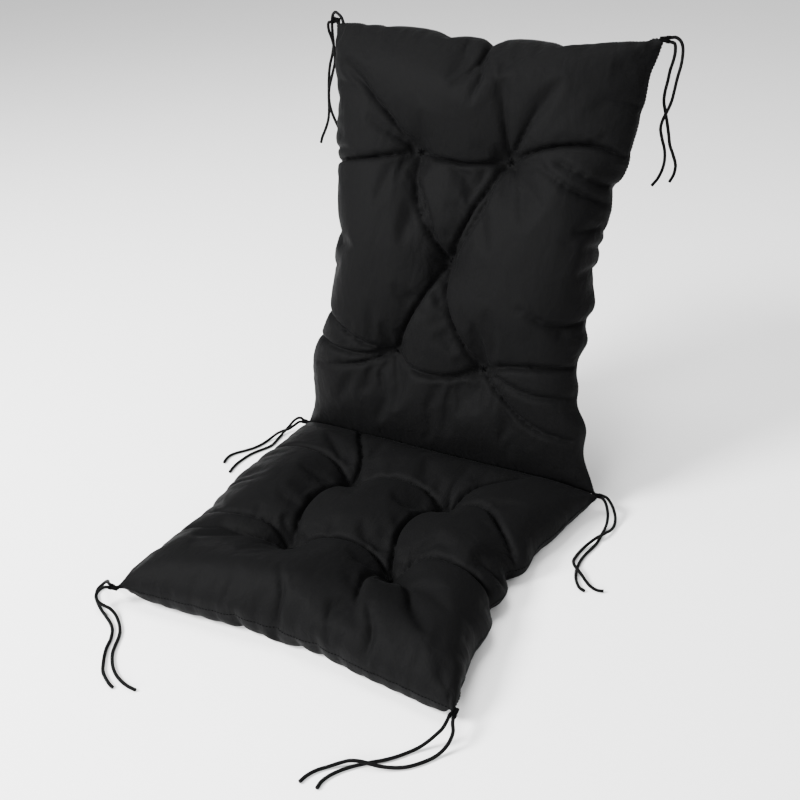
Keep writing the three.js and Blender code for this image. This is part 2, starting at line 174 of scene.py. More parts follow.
# Ties that lie on the floor: across and along from the corner, the share of the corner's height
# that is left, and how many cord thicknesses the cord is raised to pass over another
LYING_TIES = {
    "front_left_a": (
        (-0.013, 0.0045, 0.98, 0), (-0.022, 0.012, 0.77, 0), (-0.032, 0.017, 0.46, 0),
        (-0.039, 0.016, 0.2, 0), (-0.042, 0.01, 0.05, 0), (-0.039, 0.003, 0, 0),
        (-0.032, -0.005, 0, 0), (-0.022, -0.0125, 0, 0), (-0.008, -0.021, 0, 0),
        (0.006, -0.028, 0, 0), (0.0185, -0.0345, 0, 0), (0.029, -0.042, 0, 0),
        (0.0365, -0.051, 0, 0), (0.0425, -0.061, 0, 0), (0.047, -0.072, 0, 0),
        (0.054, -0.084, 0, 0), (0.062, -0.095, 0, 0), (0.072, -0.107, 0, 0),
        (0.084, -0.115, 0, 0), (0.096, -0.121, 0, 0), (0.102, -0.123, 0, 0),
    ),
    "front_left_b": (
        (-0.013, -0.0045, 0.97, 0), (-0.0175, -0.01, 0.87, 0), (-0.017, -0.0175, 0.7, 0),
        (-0.011, -0.021, 0.54, 0), (-0.003, -0.0205, 0.4, 0), (0.006, -0.019, 0.26, 0),
        (0.016, -0.021, 0.09, 0), (0.0265, -0.0275, 0, 0), (0.036, -0.0355, 0, 0),
        (0.044, -0.0445, 0, 0), (0.05, -0.055, 0, 0), (0.055, -0.066, 0, 0),
        (0.061, -0.077, 0, 0), (0.07, -0.088, 0, 0), (0.081, -0.098, 0, 0),
        (0.093, -0.1055, 0, 0), (0.107, -0.111, 0, 0), (0.119, -0.1135, 0, 0),
        (0.13, -0.114, 0, 0),
    ),
    "front_right_a": (
        (-0.0025, -0.014, 0.94, 0), (-0.004, -0.021, 0.77, 0), (-0.0095, -0.0275, 0.5, 0),
        (-0.016, -0.0345, 0.24, 0), (-0.023, -0.043, 0.06, 0), (-0.031, -0.053, 0, 0),
        (-0.04, -0.0645, 0, 0), (-0.0505, -0.075, 0, 0), (-0.061, -0.0835, 0, 0),
        (-0.07, -0.0915, 0, 0), (-0.079, -0.1005, 0, 0), (-0.087, -0.1105, 0, 0),
        (-0.093, -0.121, 0, 0), (-0.096, -0.131, 0, 0), (-0.0955, -0.14, 0, 0),
    ),
    "front_right_b": (
        (0.0045, -0.013, 0.91, 0), (0.008, -0.0195, 0.7, 0), (0.0075, -0.027, 0.42, 0),
        (0.004, -0.0355, 0.16, 0), (-0.001, -0.0445, 0.02, 0), (-0.007, -0.054, 0, 0),
        (-0.015, -0.064, 0, 0), (-0.025, -0.0735, 0, 0.05), (-0.037, -0.081, 0, 0.3),
        (-0.049, -0.0865, 0, 0.7), (-0.06, -0.0895, 0, 1.05), (-0.07, -0.0915, 0, 1.15),
        (-0.0805, -0.095, 0, 1), (-0.09, -0.101, 0, 0.5), (-0.1, -0.1095, 0, 0),
        (-0.1085, -0.119, 0, 0), (-0.1145, -0.13, 0, 0), (-0.117, -0.141, 0, 0),
    ),
    "fold_left_a": (
        (-0.014, 0.004, 1.08, 0), (-0.022, 0.005, 0.96, 0), (-0.03, 0.004, 0.69, 0),
        (-0.036, 0, 0.37, 0), (-0.04, -0.008, 0.14, 0), (-0.041, -0.018, 0.02, 0),
        (-0.04, -0.03, 0, 0), (-0.038, -0.043, 0, 0), (-0.038, -0.055, 0, 0),
        (-0.043, -0.067, 0, 0), (-0.049, -0.079, 0, 0), (-0.054, -0.093, 0, 0),
        (-0.056, -0.107, 0, 0), (-0.057, -0.121, 0, 0), (-0.056, -0.134, 0, 0),
        (-0.053, -0.147, 0, 0),
    ),
    "fold_left_b": (
        (-0.0125, -0.0048, 0.98, 0), (-0.0185, -0.0125, 0.8, 0), (-0.026, -0.0195, 0.6, 0),
        (-0.035, -0.0225, 0.46, 0), (-0.0435, -0.026, 0.26, 0), (-0.0495, -0.0335, 0.08, 0),
        (-0.0525, -0.044, 0, 0), (-0.055, -0.059, 0, 0), (-0.061, -0.074, 0, 0),
        (-0.07, -0.087, 0, 0), (-0.078, -0.098, 0, 0), (-0.082, -0.109, 0, 0),
        (-0.081, -0.12, 0, 0), (-0.078, -0.128, 0, 0),
    ),
    "fold_right_a": (
        (0.0145, 0.0018, 0.96, 0), (0.023, -0.003, 0.77, 0), (0.03, -0.009, 0.5, 0),
        (0.035, -0.017, 0.23, 0), (0.037, -0.027, 0.05, 0.1), (0.037, -0.038, 0, 0.4),
        (0.0345, -0.049, 0, 0.8), (0.0305, -0.06, 0, 1.15), (0.0255, -0.071, 0, 1.15),
        (0.02, -0.083, 0, 0.7), (0.0155, -0.095, 0, 0.2), (0.013, -0.108, 0, 0),
        (0.0125, -0.119, 0, 0.1), (0.014, -0.13, 0, 0.6), (0.019, -0.14, 0, 1.1),
        (0.0265, -0.1475, 0, 1.15), (0.035, -0.154, 0, 0.7), (0.0435, -0.161, 0, 0.2),
        (0.053, -0.168, 0, 0), (0.063, -0.171, 0, 0), (0.071, -0.169, 0, 0),
    ),
    "fold_right_b": (
        (0.014, -0.0052, 0.9, 0), (0.02, -0.012, 0.69, 0), (0.0245, -0.02, 0.42, 0),
        (0.027, -0.03, 0.18, 0), (0.0275, -0.041, 0.04, 0), (0.0275, -0.053, 0, 0),
        (0.028, -0.065, 0, 0), (0.028, -0.077, 0, 0), (0.026, -0.09, 0, 0),
        (0.023, -0.104, 0, 0), (0.0215, -0.118, 0, 0), (0.022, -0.132, 0, 0),
        (0.024, -0.145, 0, 0), (0.028, -0.158, 0, 0), (0.034, -0.169, 0, 0),
        (0.041, -0.177, 0, 0), (0.048, -0.1795, 0, 0),
    ),
}

HANGING_TIES = {
    "top_left_a": (
        (0.019, -0.009, -0.003), (0.014, -0.0065, 0.0055), (0.006, -0.002, 0.0095),
        (-0.003, 0.004, 0.0105), (-0.0105, 0.0085, 0.005), (-0.0135, 0.01, -0.006),
        (-0.014, 0.01, -0.022), (-0.0135, 0.01, -0.038), (-0.017, 0.01, -0.053),
        (-0.0225, 0.01, -0.069), (-0.026, 0.01, -0.086), (-0.028, 0.01, -0.104),
        (-0.0295, 0.01, -0.122), (-0.0305, 0.01, -0.14), (-0.034, 0.01, -0.157),
        (-0.0405, 0.01, -0.172), (-0.047, 0.01, -0.184), (-0.0505, 0.01, -0.1935),
    ),
    "top_left_b": (
        (-0.013, -0.0006, -0.0045), (-0.0145, 0.0005, -0.014), (-0.011, 0.0025, -0.028),
        (-0.009, 0.004, -0.043), (-0.009, 0.004, -0.059), (-0.013, 0.004, -0.074),
        (-0.0185, 0.004, -0.089), (-0.0235, 0.004, -0.105), (-0.025, 0.004, -0.122),
        (-0.0225, 0.004, -0.138), (-0.016, 0.004, -0.154), (-0.009, 0.004, -0.169),
        (-0.004, 0.004, -0.185), (-0.002, 0.004, -0.201),
    ),
    "top_right_a": (
        (0.013, 0.0016, 0.003), (0.019, 0.0035, -0.001), (0.0225, 0.004, -0.008),
        (0.0235, 0.004, -0.018), (0.0225, 0.004, -0.032), (0.019, 0.004, -0.049),
        (0.0165, 0.004, -0.065), (0.014, 0.004, -0.079), (0.0095, 0.004, -0.092),
        (0.0045, 0.004, -0.104), (0.002, 0.004, -0.116), (0.005, 0.004, -0.13),
        (0.0095, 0.004, -0.144), (0.011, 0.004, -0.158), (0.009, 0.004, -0.172),
        (0.0035, 0.004, -0.186), (-0.004, 0.004, -0.197),
    ),
    "top_right_b": (
        (0.0125, 0.0006, -0.0045), (0.013, 0.0055, -0.0135), (0.0105, 0.01, -0.027),
        (0.007, 0.01, -0.041), (0.005, 0.01, -0.055), (0.0025, 0.01, -0.069),
        (0.002, 0.01, -0.082), (0.005, 0.01, -0.095), (0.0085, 0.01, -0.109),
        (0.012, 0.01, -0.125), (0.015, 0.01, -0.14), (0.0205, 0.01, -0.153),
        (0.025, 0.01, -0.167), (0.0235, 0.01, -0.18), (0.0185, 0.01, -0.191),
    ),
}


# ---------------------------------------------------------------- settings


def length_setting(name, description, default, low, high):
    """A setting for a length in metres."""
    return bpy.props.FloatProperty(
        name=name, description=description, default=default, min=low, max=high, unit="LENGTH"
    )


def colour_setting(name, description, default):
    """A setting for a colour."""
    return bpy.props.FloatVectorProperty(
        name=name,
        description=description,
        default=default,
        min=0.0,
        max=1.0,
        size=3,
        subtype="COLOR",
    )


class ChairPadStuffing(bpy.types.PropertyGroup):
    """How each pad is cut, gathered and filled."""

    cell: length_setting(
        "Cloth Cell", "Spacing of the cloth's own grid", 0.0055, 0.004, 0.02
    )
    spare_cloth: bpy.props.FloatProperty(
        name="Spare Cloth",
        description="How much larger the loose cloth is cut than the drawn pad",
        default=0.055,
        min=0.0,
        max=0.3,
        subtype="FACTOR",
    )
    crease_pull: bpy.props.FloatProperty(
        name="Crease Pull",
        description="How much shorter the cloth is drawn along a crease",
        default=0.005,
        min=-0.1,
        max=0.2,
        subtype="FACTOR",
    )
    fullness: bpy.props.FloatProperty(
        name="Fullness",
        description="How hard the filling pushes the cloth outwards",
        default=5.0,
        min=0.0,
        max=20.0,
    )
    settling: bpy.props.IntProperty(
        name="Settling Steps",
        description="How many steps the cloth is given to settle over its filling",
        default=26,
        min=1,
        max=60,
    )
    seat_rise: length_setting(
        "Seat Rise", "Height of the seat's filling over its seam before it settles", 0.03, 0.005, 0.08
    )
    back_rise: length_setting(
        "Back Rise", "Height of the back's filling over its seam before it settles", 0.026, 0.005, 0.08
    )
    back_bow: length_setting(
        "Back Bow", "How far the middle of the back pad bows forwards", 0.046, 0.0, 0.1
    )


class ChairPadSewing(bpy.types.PropertyGroup):
    """Threads, stitches and tacks."""

    stitch_pitch: length_setting(
        "Stitch Pitch", "Distance from one seam stitch to the next", 0.0045, 0.002, 0.02
    )
    stitch_radius: length_setting(
        "Seam Thread Radius", "Radius of the thread in the edge seams", 0.00045, 0.0001, 0.003
    )
    fold_pitch: length_setting(
        "Fold Stitch Pitch", "Distance from one whip stitch of the fold to the next", 0.009, 0.003, 0.05
    )
    fold_radius: length_setting(
        "Fold Thread Radius", "Radius of the thread that joins the two pads", 0.0007, 0.0002, 0.003
    )
    tuft_radius: length_setting(
        "Tuft Thread Radius", "Radius of the thread that ties each tuft", 0.0006, 0.0002, 0.003
    )
    tack_wraps: bpy.props.IntProperty(
        name="Tack Wraps",
        description="How many turns of thread hold the ties at each corner",
        default=6,
        min=2,
        max=12,
    )


class ChairPadFinish(bpy.types.PropertyGroup):
    """Colours of the cloth, threads, ties and floor."""

    cloth: colour_setting("Cloth", "Colour of the cover cloth", (0.0027, 0.0027, 0.0028))
    # Painted sheen: a lighter cloth colour given along the seams, where light catches their rims.
    painted_sheen_cloth: colour_setting(
        "Worn Cloth", "Colour of the cover cloth where it rubs", (0.0042, 0.0042, 0.0044)
    )
    # The thread is set darker than the cloth partly as painted shade, so that the tuft knots read as
    # the deep shade of their pits; its own colour is black.
    thread: colour_setting("Thread", "Colour of the sewing thread", (0.0009, 0.0009, 0.001))
    tie: colour_setting("Tie", "Colour of the tie cord", (0.0018, 0.0018, 0.0019))
    filling: colour_setting("Filling", "Colour of the filling fibre", (0.62, 0.61, 0.58))
    floor: colour_setting("Floor", "Colour of the floor", (0.86, 0.86, 0.86))


# ---------------------------------------------------------------- materials


def new_material(name):
    """An empty procedural material, with its shader and output."""
    material = bpy.data.materials.new(name)
    material.use_nodes = True
    tree = material.node_tree
    tree.nodes.clear()
    output = tree.nodes.new("ShaderNodeOutputMaterial")
    shader = tree.nodes.new("ShaderNodeBsdfPrincipled")
    tree.links.new(shader.outputs["BSDF"], output.inputs["Surface"])
    return material, tree, shader


def add_math(tree, operation, first, second=None):
    """A math node fed by sockets or plain numbers."""
    node = tree.nodes.new("ShaderNodeMath")
    node.operation = operation
    for socket, value in zip(node.inputs, (first, second)):
        if value is None:
            continue
        if isinstance(value, (int, float)):
            socket.default_value = value
        else:
            tree.links.new(value, socket)
    return node.outputs[0]


def add_noise(tree, vector, scale, detail, roughness=0.5, distortion=0.0):
    """A noise pattern's value."""
    node = tree.nodes.new("ShaderNodeTexNoise")
    node.inputs["Scale"].default_value = scale
    node.inputs["Detail"].default_value = detail
    node.inputs["Roughness"].default_value = roughness
    node.inputs["Distortion"].default_value = distortion
    tree.links.new(vector, node.inputs["Vector"])
    return node.outputs["Fac"]


def add_stretch(tree, vector, scale, turn=0.0):
    """The same coordinates, stretched along each axis and turned."""
    node = tree.nodes.new("ShaderNodeMapping")
    node.inputs["Scale"].default_value = scale
    node.inputs["Rotation"].default_value = (0, 0, turn)
    tree.links.new(vector, node.inputs["Vector"])
    return node.outputs["Vector"]


def add_bump(tree, height, distance, strength=1.0, onto=None):
    """A bump over an earlier one."""
    node = tree.nodes.new("ShaderNodeBump")
    node.inputs["Strength"].default_value = strength
    node.inputs["Distance"].default_value = distance
    tree.links.new(height, node.inputs["Height"])
    if onto is not None:
        tree.links.new(onto, node.inputs["Normal"])
    return node.outputs["Normal"]


def add_range(tree, value, low, high):
    """A 0 to 1 value moved into a range."""
    node = tree.nodes.new("ShaderNodeMapRange")
    node.inputs["To Min"].default_value = low
    node.inputs["To Max"].default_value = high
    tree.links.new(value, node.inputs["Value"])
    return node.outputs["Result"]


def add_colours(tree, factor, colours):
    """A ramp of colours over a 0 to 1 value."""
    node = tree.nodes.new("ShaderNodeValToRGB")
    ramp = node.color_ramp
    while len(ramp.elements) < len(colours):
        ramp.elements.new(0.5)
    for element, (place, colour) in zip(ramp.elements, colours):
        element.position = place
        element.color = (*colour, 1)
    tree.links.new(factor, node.inputs["Fac"])
    return node.outputs["Color"]


def shade(colour, amount):
    """A colour made lighter or darker."""
    return tuple(min(1.0, c * amount) for c in colour)


def cloth_material(finish):
    """Tightly woven black polyester: a fine plain weave, crinkled where it is gathered, and painted
    with sheen along its seams.
    """
    material, tree, shader = new_material("black_woven_polyester")
    uv = tree.nodes.new("ShaderNodeUVMap")
    uv.uv_map = "cloth"
    gather = tree.nodes.new("ShaderNodeAttribute")
    gather.attribute_name = "gather"
    painted_seam_sheen = tree.nodes.new("ShaderNodeAttribute")
    painted_seam_sheen.attribute_name = "painted_seam_sheen"
    split = tree.nodes.new("ShaderNodeSeparateXYZ")
    tree.links.new(uv.outputs["UV"], split.inputs["Vector"])
    turns = math.tau / 0.0009
    warp = add_math(tree, "SINE", add_math(tree, "MULTIPLY", split.outputs["X"], turns))
    weft = add_math(tree, "SINE", add_math(tree, "MULTIPLY", split.outputs["Y"], turns))
    weave = add_math(tree, "MULTIPLY", warp, weft)
    slubs = add_noise(tree, add_stretch(tree, uv.outputs["UV"], (40, 900, 1)), 1.0, 2)
    tone = add_noise(tree, uv.outputs["UV"], 14, 3, 0.55)
    crinkle = add_noise(tree, uv.outputs["UV"], 62, 3, 0.5, 0.9)
    slanted = add_stretch(tree, uv.outputs["UV"], (1.8, 1, 1), 0.6)
    ripple = add_noise(tree, slanted, 26, 2, 0.45, 0.6)
    # Painted sheen: the seam mask, times the random tone, lifts the colour towards the lighter cloth
    # along the seams.
    seam_sheen = add_math(tree, "MULTIPLY", painted_seam_sheen.outputs["Fac"], tone)
    tone_and_sheen = add_math(tree, "ADD", add_math(tree, "MULTIPLY", tone, 0.5), seam_sheen)
    shades = (
        (0.0, shade(finish.cloth, 0.85)),
        (0.45, finish.cloth[:]),
        (1.0, finish.painted_sheen_cloth[:]),
    )
    tree.links.new(add_colours(tree, tone_and_sheen, shades), shader.inputs["Base Color"])
    half_slubs = add_math(tree, "MULTIPLY", slubs, 0.5)
    half_tone = add_math(tree, "MULTIPLY", tone, 0.5)
    uneven = add_math(tree, "ADD", half_slubs, half_tone)
    tree.links.new(add_range(tree, uneven, 0.5, 0.66), shader.inputs["Roughness"])
    shader.inputs["Specular IOR Level"].default_value = 0.016
    shader.inputs["Sheen Weight"].default_value = 0.005
    shader.inputs["Sheen Roughness"].default_value = 0.45
    shader.inputs["Sheen Tint"].default_value = (0.85, 0.87, 0.9, 1)
    gathered = add_math(tree, "MULTIPLY", crinkle, add_range(tree, gather.outputs["Fac"], 0.12, 1.0))
    bump = add_bump(tree, ripple, 0.003, 0.5)
    bump = add_bump(tree, gathered, 0.0032, 0.8, bump)
    bump = add_bump(tree, slubs, 0.00008, 0.5, bump)
    bump = add_bump(tree, weave, 0.00006, 0.6, bump)
    tree.links.new(bump, shader.inputs["Normal"])
    return material


def thread_material(finish):
    """Twisted black polyester thread, with its ply showing as a fine slanting rib."""
    material, tree, shader = new_material("black_sewing_thread")
    where = tree.nodes.new("ShaderNodeTexCoord")
    slanted = add_stretch(tree, where.outputs["Object"], (1, 1, 1), 0.7)
    split = tree.nodes.new("ShaderNodeSeparateXYZ")
    tree.links.new(slanted, split.inputs["Vector"])
    along = add_math(tree, "ADD", split.outputs["X"], split.outputs["Z"])
    ply = add_math(tree, "SINE", add_math(tree, "MULTIPLY", along, math.tau / 0.0008))
    fuzz = add_noise(tree, where.outputs["Object"], 900, 3, 0.6)
    tone = add_noise(tree, where.outputs["Object"], 70, 2)
    shades = ((0.2, shade(finish.thread, 0.7)), (0.8, shade(finish.thread, 1.5)))
    tree.links.new(add_colours(tree, tone, shades), shader.inputs["Base Color"])
    tree.links.new(add_range(tree, fuzz, 0.5, 0.75), shader.inputs["Roughness"])
    shader.inputs["Specular IOR Level"].default_value = 0.01
    shader.inputs["Sheen Weight"].default_value = 0.004
    bump = add_bump(tree, ply, 0.00012, 0.8)
    bump = add_bump(tree, fuzz, 0.00006, 0.6, bump)
    tree.links.new(bump, shader.inputs["Normal"])
    return material


def cord_material(finish):
    """Round braided black cord: strands that cross on two slants, with a soft fuzz."""
    material, tree, shader = new_material("black_braided_cord")
    uv = tree.nodes.new("ShaderNodeUVMap")
    uv.uv_map = "cord"
    split = tree.nodes.new("ShaderNodeSeparateXYZ")
    tree.links.new(uv.outputs["UV"], split.inputs["Vector"])
    along = add_math(tree, "MULTIPLY", split.outputs["X"], math.tau / 0.0065)
    around = add_math(tree, "MULTIPLY", split.outputs["Y"], math.tau)
    pitch = add_math(tree, "MULTIPLY", around, 4.0)
    runs = add_math(tree, "MULTIPLY", along, 4.0)
    one_way = add_math(tree, "SINE", add_math(tree, "ADD", runs, pitch))
    other_way = add_math(tree, "SINE", add_math(tree, "SUBTRACT", runs, pitch))
    braid = add_math(tree, "MAXIMUM", one_way, other_way)
    fuzz = add_noise(tree, add_stretch(tree, uv.outputs["UV"], (900, 12, 1)), 1.0, 3, 0.6)
    tone = add_noise(tree, add_stretch(tree, uv.outputs["UV"], (35, 1, 1)), 1.0, 2)
    # Painted shade: the colour is darker in the grooves between the braid's strands than on their
    # crowns; the noise tone over it is random.
    mixed = add_math(tree, "MULTIPLY", add_range(tree, braid, 0.5, 1.0), tone)
    shades = ((0.15, shade(finish.tie, 0.6)), (0.75, shade(finish.tie, 1.7)))
    tree.links.new(add_colours(tree, mixed, shades), shader.inputs["Base Color"])
    tree.links.new(add_range(tree, fuzz, 0.55, 0.8), shader.inputs["Roughness"])
    shader.inputs["Specular IOR Level"].default_value = 0.03
    shader.inputs["Sheen Weight"].default_value = 0.01
    bump = add_bump(tree, braid, 0.00045, 0.9)
    bump = add_bump(tree, fuzz, 0.00008, 0.5, bump)
    tree.links.new(bump, shader.inputs["Normal"])
    return material


def filling_material(finish):
    """Matted polyester wadding: pale tangled fibres."""
    material, tree, shader = new_material("pale_filling_fibre")
    where = tree.nodes.new("ShaderNodeTexCoord")
    fibres = add_noise(tree, where.outputs["Object"], 240, 6, 0.7, 2.5)
    clumps = add_noise(tree, where.outputs["Object"], 22, 3, 0.5)
    mixed = add_math(tree, "MULTIPLY", fibres, add_range(tree, clumps, 0.6, 1.3))
    shades = ((0.1, shade(finish.filling, 0.7)), (0.8, shade(finish.filling, 1.15)))
    tree.links.new(add_colours(tree, mixed, shades), shader.inputs["Base Color"])
    tree.links.new(add_range(tree, fibres, 0.8, 1.0), shader.inputs["Roughness"])
    shader.inputs["Specular IOR Level"].default_value = 0.2
    shader.inputs["Sheen Weight"].default_value = 0.3
    bump = add_bump(tree, clumps, 0.004, 0.6)
    bump = add_bump(tree, fibres, 0.0008, 0.9, bump)
    tree.links.new(bump, shader.inputs["Normal"])
    return material


def floor_material(finish):
    """A plain pale matt floor."""
    material, tree, shader = new_material("pale_floor")
    where = tree.nodes.new("ShaderNodeTexCoord")
    tone = add_noise(tree, where.outputs["Object"], 3, 2)
    shades = ((0.0, shade(finish.floor, 0.99)), (1.0, shade(finish.floor, 1.01)))
    tree.links.new(add_colours(tree, tone, shades), shader.inputs["Base Color"])
    shader.inputs["Roughness"].default_value = 0.9
    shader.inputs["Specular IOR Level"].default_value = 0.1
    return material


# Each kind of finish: its material's name, what makes it, and its slot
FINISHES = {
    "cloth": ("black_woven_polyester", cloth_material, "cover_cloth"),
    "thread": ("black_sewing_thread", thread_material, "sewing_thread"),
    "cord": ("black_braided_cord", cord_material, "tie_cord"),
    "filling": ("pale_filling_fibre", filling_material, "filling_fibre"),
    "floor": ("pale_floor", floor_material, None),
}


def give_finish(obj, kind):
    """Gives a piece its material, made once."""
    name, make_material, slot = FINISHES[kind]
    material = bpy.data.materials.get(name)
    if material is None:
        material = make_material(bpy.context.scene.chair_pad_finish)
    obj.data.materials.clear()
    obj.data.materials.append(material)


# ---------------------------------------------------------------- shared making


def link_mesh(name, mesh):
    """A new object for a mesh, at the origin."""
    obj = bpy.data.objects.new(name, mesh)
    bpy.context.scene.collection.objects.link(obj)
    return obj


def finish_mesh(name, bm, smooth=True):
    """A new object from a bmesh, with its faces outwards and shaded smooth."""
    bmesh.ops.recalc_face_normals(bm, faces=bm.faces[:])
    mesh = bpy.data.meshes.new(name)
    bm.to_mesh(mesh)
    bm.free()
    if smooth:
        mesh.polygons.foreach_set("use_smooth", [True] * len(mesh.polygons))
    return link_mesh(name, mesh)


def places_of(mesh):
    """A mesh's points as an array."""
    co = np.empty(len(mesh.vertices) * 3)
    mesh.vertices.foreach_get("co", co)
    return co.reshape(-1, 3)


def turned_to(axis):
    """A turn that carries +Z onto an axis."""
    return Vector(axis).to_track_quat("Z", "Y").to_matrix().to_4x4()


def edges_of(verts):
    """The edges at the given vertices, each once and in a steady order."""
    return list(dict.fromkeys(edge for vert in verts for edge in vert.link_edges))


def add_ring(bm, centre, axis, radius, thread, steps=20, sides=8, squash=1.0, across=(1, 0, 0)):
    """A closed ring of thread round an axis, which may be oval."""
    axis = Vector(axis).normalized()
    across = Vector(across)
    across = (across - axis * across.dot(axis)).normalized()
    other = axis.cross(across)
    profile = bmesh.ops.create_circle(
        bm,
        segments=sides,
        radius=thread,
        matrix=Matrix.Translation((radius, 0, 0)) @ Matrix.Rotation(math.pi / 2, 4, "X"),
    )["verts"]
    edges = edges_of(profile)
    bmesh.ops.spin(
        bm,
        geom=profile + edges,
        cent=(0, 0, 0),
        axis=(0, 0, 1),
        angle=math.tau,
        steps=steps,
        use_merge=True,
    )
    verts = set(profile)
    frontier = list(profile)
    while frontier:
        vert = frontier.pop()
        for edge in vert.link_edges:
            neighbour = edge.other_vert(vert)
            if neighbour not in verts:
                verts.add(neighbour)
                frontier.append(neighbour)
    basis = Matrix.Identity(4)
    for row in range(3):
        basis[row][0] = across[row]
        basis[row][1] = other[row] * squash
        basis[row][2] = axis[row]
        basis[row][3] = centre[row]
    bmesh.ops.transform(bm, matrix=basis, verts=list(verts))


def add_stitch(bm, start, end, thread, flare=1.35):
    """One short stitch that bellies out between its two ends."""
    start = Vector(start)
    end = Vector(end)
    run = end - start
    size = Matrix.Diagonal((thread * flare, thread * flare, run.length / 2, 1))
    bmesh.ops.create_uvsphere(
        bm,
        u_segments=6,
        v_segments=4,
        radius=1.0,
        matrix=Matrix.Translation((start + end) / 2) @ turned_to(run) @ size,
    )


def add_thread(bm, points, thread, sides=8):
    """A round thread through a row of points, closed at both ends."""
    points = [Vector(p) for p in points]
    ring = None
    for index, point in enumerate(points):
        before = points[max(index - 1, 0)]
        after = points[min(index + 1, len(points) - 1)]
        place = Matrix.Translation(point) @ turned_to(after - before)
        new = bmesh.ops.create_circle(
            bm, segments=sides, radius=thread, matrix=place, cap_ends=index in (0, len(points) - 1)
        )["verts"]
        edges = edges_of(new)
        if ring is not None:
            bmesh.ops.bridge_loops(bm, edges=ring + edges)
        ring = edges


# ---------------------------------------------------------------- the pads


def cut_bag(name, columns, rows):
    """Two matching panels sewn together round their edge: a flat bag, 2 by 2."""
    bm = bmesh.new()
    panel = bm.verts.layers.int.new("panel")
    bmesh.ops.create_grid(bm, x_segments=columns, y_segments=rows, size=1.0)
    for vert in bm.verts:
        vert[panel] = 0 if vert.is_boundary else 1
    copied = bmesh.ops.duplicate(bm, geom=bm.verts[:] + bm.edges[:] + bm.faces[:])["geom"]
    rear_faces = [g for g in copied if isinstance(g, bmesh.types.BMFace)]
    for vert in (g for g in copied if isinstance(g, bmesh.types.BMVert)):
        if vert[panel] == 1:
            vert[panel] = -1
    bmesh.ops.reverse_faces(bm, faces=rear_faces)
    cloth = bm.loops.layers.uv.new("cloth")
    rear = set(rear_faces)
    for face in bm.faces:
        shift = 1.5 if face in rear else 0.0
        for loop in face.loops:
            loop[cloth].uv = (loop.vert.co.x + shift, loop.vert.co.y)
    bmesh.ops.remove_doubles(bm, verts=[v for v in bm.verts if v[panel] == 0], dist=1e-5)
    mesh = bpy.data.meshes.new(name)
    bm.to_mesh(mesh)
    bm.free()
    mesh.polygons.foreach_set("use_smooth", [True] * len(mesh.polygons))
    return link_mesh(name, mesh)


def near_line(u, v, line):
    """How far each place is from a line, how far along it the nearest point is, and that point."""
    best = np.full(u.shape, 1e9)
    share = np.zeros(u.shape)
    on_u = u.copy()
    on_v = v.copy()
    lengths = [math.dist(a, b) for a, b in zip(line, line[1:])]
    total = sum(lengths)
    done = 0.0
    for (start, end), length in zip(zip(line, line[1:]), lengths):
        du, dv = end[0] - start[0], end[1] - start[1]
        t = np.clip(((u - start[0]) * du + (v - start[1]) * dv) / length**2, 0, 1)
        gap = np.hypot(u - start[0] - t * du, v - start[1] - t * dv)
        closer = gap < best
        best = np.where(closer, gap, best)
        share = np.where(closer, (done + t * length) / total, share)
        on_u = np.where(closer, start[0] + t * du, on_u)
        on_v = np.where(closer, start[1] + t * dv, on_v)
        done += length
    return best, share, on_u, on_v


def rounded(line, steps=6):
    """A line's corners eased into a smooth curve."""
    points = [Vector((*p, 0)) for p in line]
    if len(points) < 3:
        return line
    return [(p.x, p.y) for p in smooth_route(points, steps)]


def crease_field(u, v, creases, width):
    """How much each place is drawn in by its nearest crease, from 0 to 1."""
    field = np.zeros(u.shape)
    for line, near, far in creases:
        gap, share = near_line(u, v, rounded(line))[:2]
        pull = (near + (far - near) * share) * np.exp(-((gap / width) ** 2))
        field = np.maximum(field, pull)
    return field


def lay_on_creases(u, v, free, creases, reach):
    """Moves the free places nearest to a crease onto it, and says which crease holds each."""
    holder = np.full(u.shape, -1)
    best = np.full(u.shape, reach)
    new_u, new_v = u.copy(), v.copy()
    strength = np.zeros(u.shape)
    for index, (line, near, far) in enumerate(creases):
        gap, share, on_u, on_v = near_line(u, v, rounded(line))
        taken = free & (gap < best)
        best = np.where(taken, gap, best)
        new_u = np.where(taken, on_u, new_u)
        new_v = np.where(taken, on_v, new_v)
        strength = np.where(taken, near + (far - near) * share, strength)
        holder = np.where(taken, index, holder)
    return new_u, new_v, holder, strength


def seam_puckers(depth, seed, spacing=0.026):
    """Short creases that run in from the seams where the cloth is gathered."""
    chance = random.Random(seed)
    creases = []
    for side in (-1, 1):
        place = 0.02
        while place < depth - 0.02:
            reach = chance.uniform(0.012, 0.034)
            lean = chance.uniform(-0.4, 0.4) * reach
            line = ((side * 0.25, place), (side * (0.222 - reach), place + lean))
            creases.append((line, chance.uniform(0.4, 0.9), 0.0))
            place += chance.uniform(0.6, 1.4) * spacing
    place = -0.22
    while place < 0.22:
        reach = chance.uniform(0.012, 0.032)
        lean = chance.uniform(-0.4, 0.4) * reach
        line = ((place, depth), (place + lean, depth - 0.014 - reach))
        creases.append((line, chance.uniform(0.3, 0.8), 0.0))
        place += chance.uniform(0.6, 1.4) * spacing
    return tuple(creases)


def tuft_puckers(tufts, seed):
    """Short creases that spread from each tuft where its thread gathers the cloth."""
    chance = random.Random(seed)
    creases = []
    for u, v in tufts.values():
        turn = chance.uniform(0, 0.6)
        while turn < 2 * math.pi:
            reach = chance.uniform(0.016, 0.04)
            near = (u + 0.005 * math.cos(turn), v + 0.005 * math.sin(turn))
            far = (u + reach * math.cos(turn), v + reach * math.sin(turn))
            creases.append(((near, far), chance.uniform(0.5, 1.0), 0.0))
            turn += chance.uniform(0.3, 0.75)
    return tuple(creases)


def swell(share, power=0.55):
    """A pillow's profile from its seam, 0, to its full height, 1."""
    share = np.clip(share, 0, 1)
    return (1 - (1 - share) ** 2) ** power


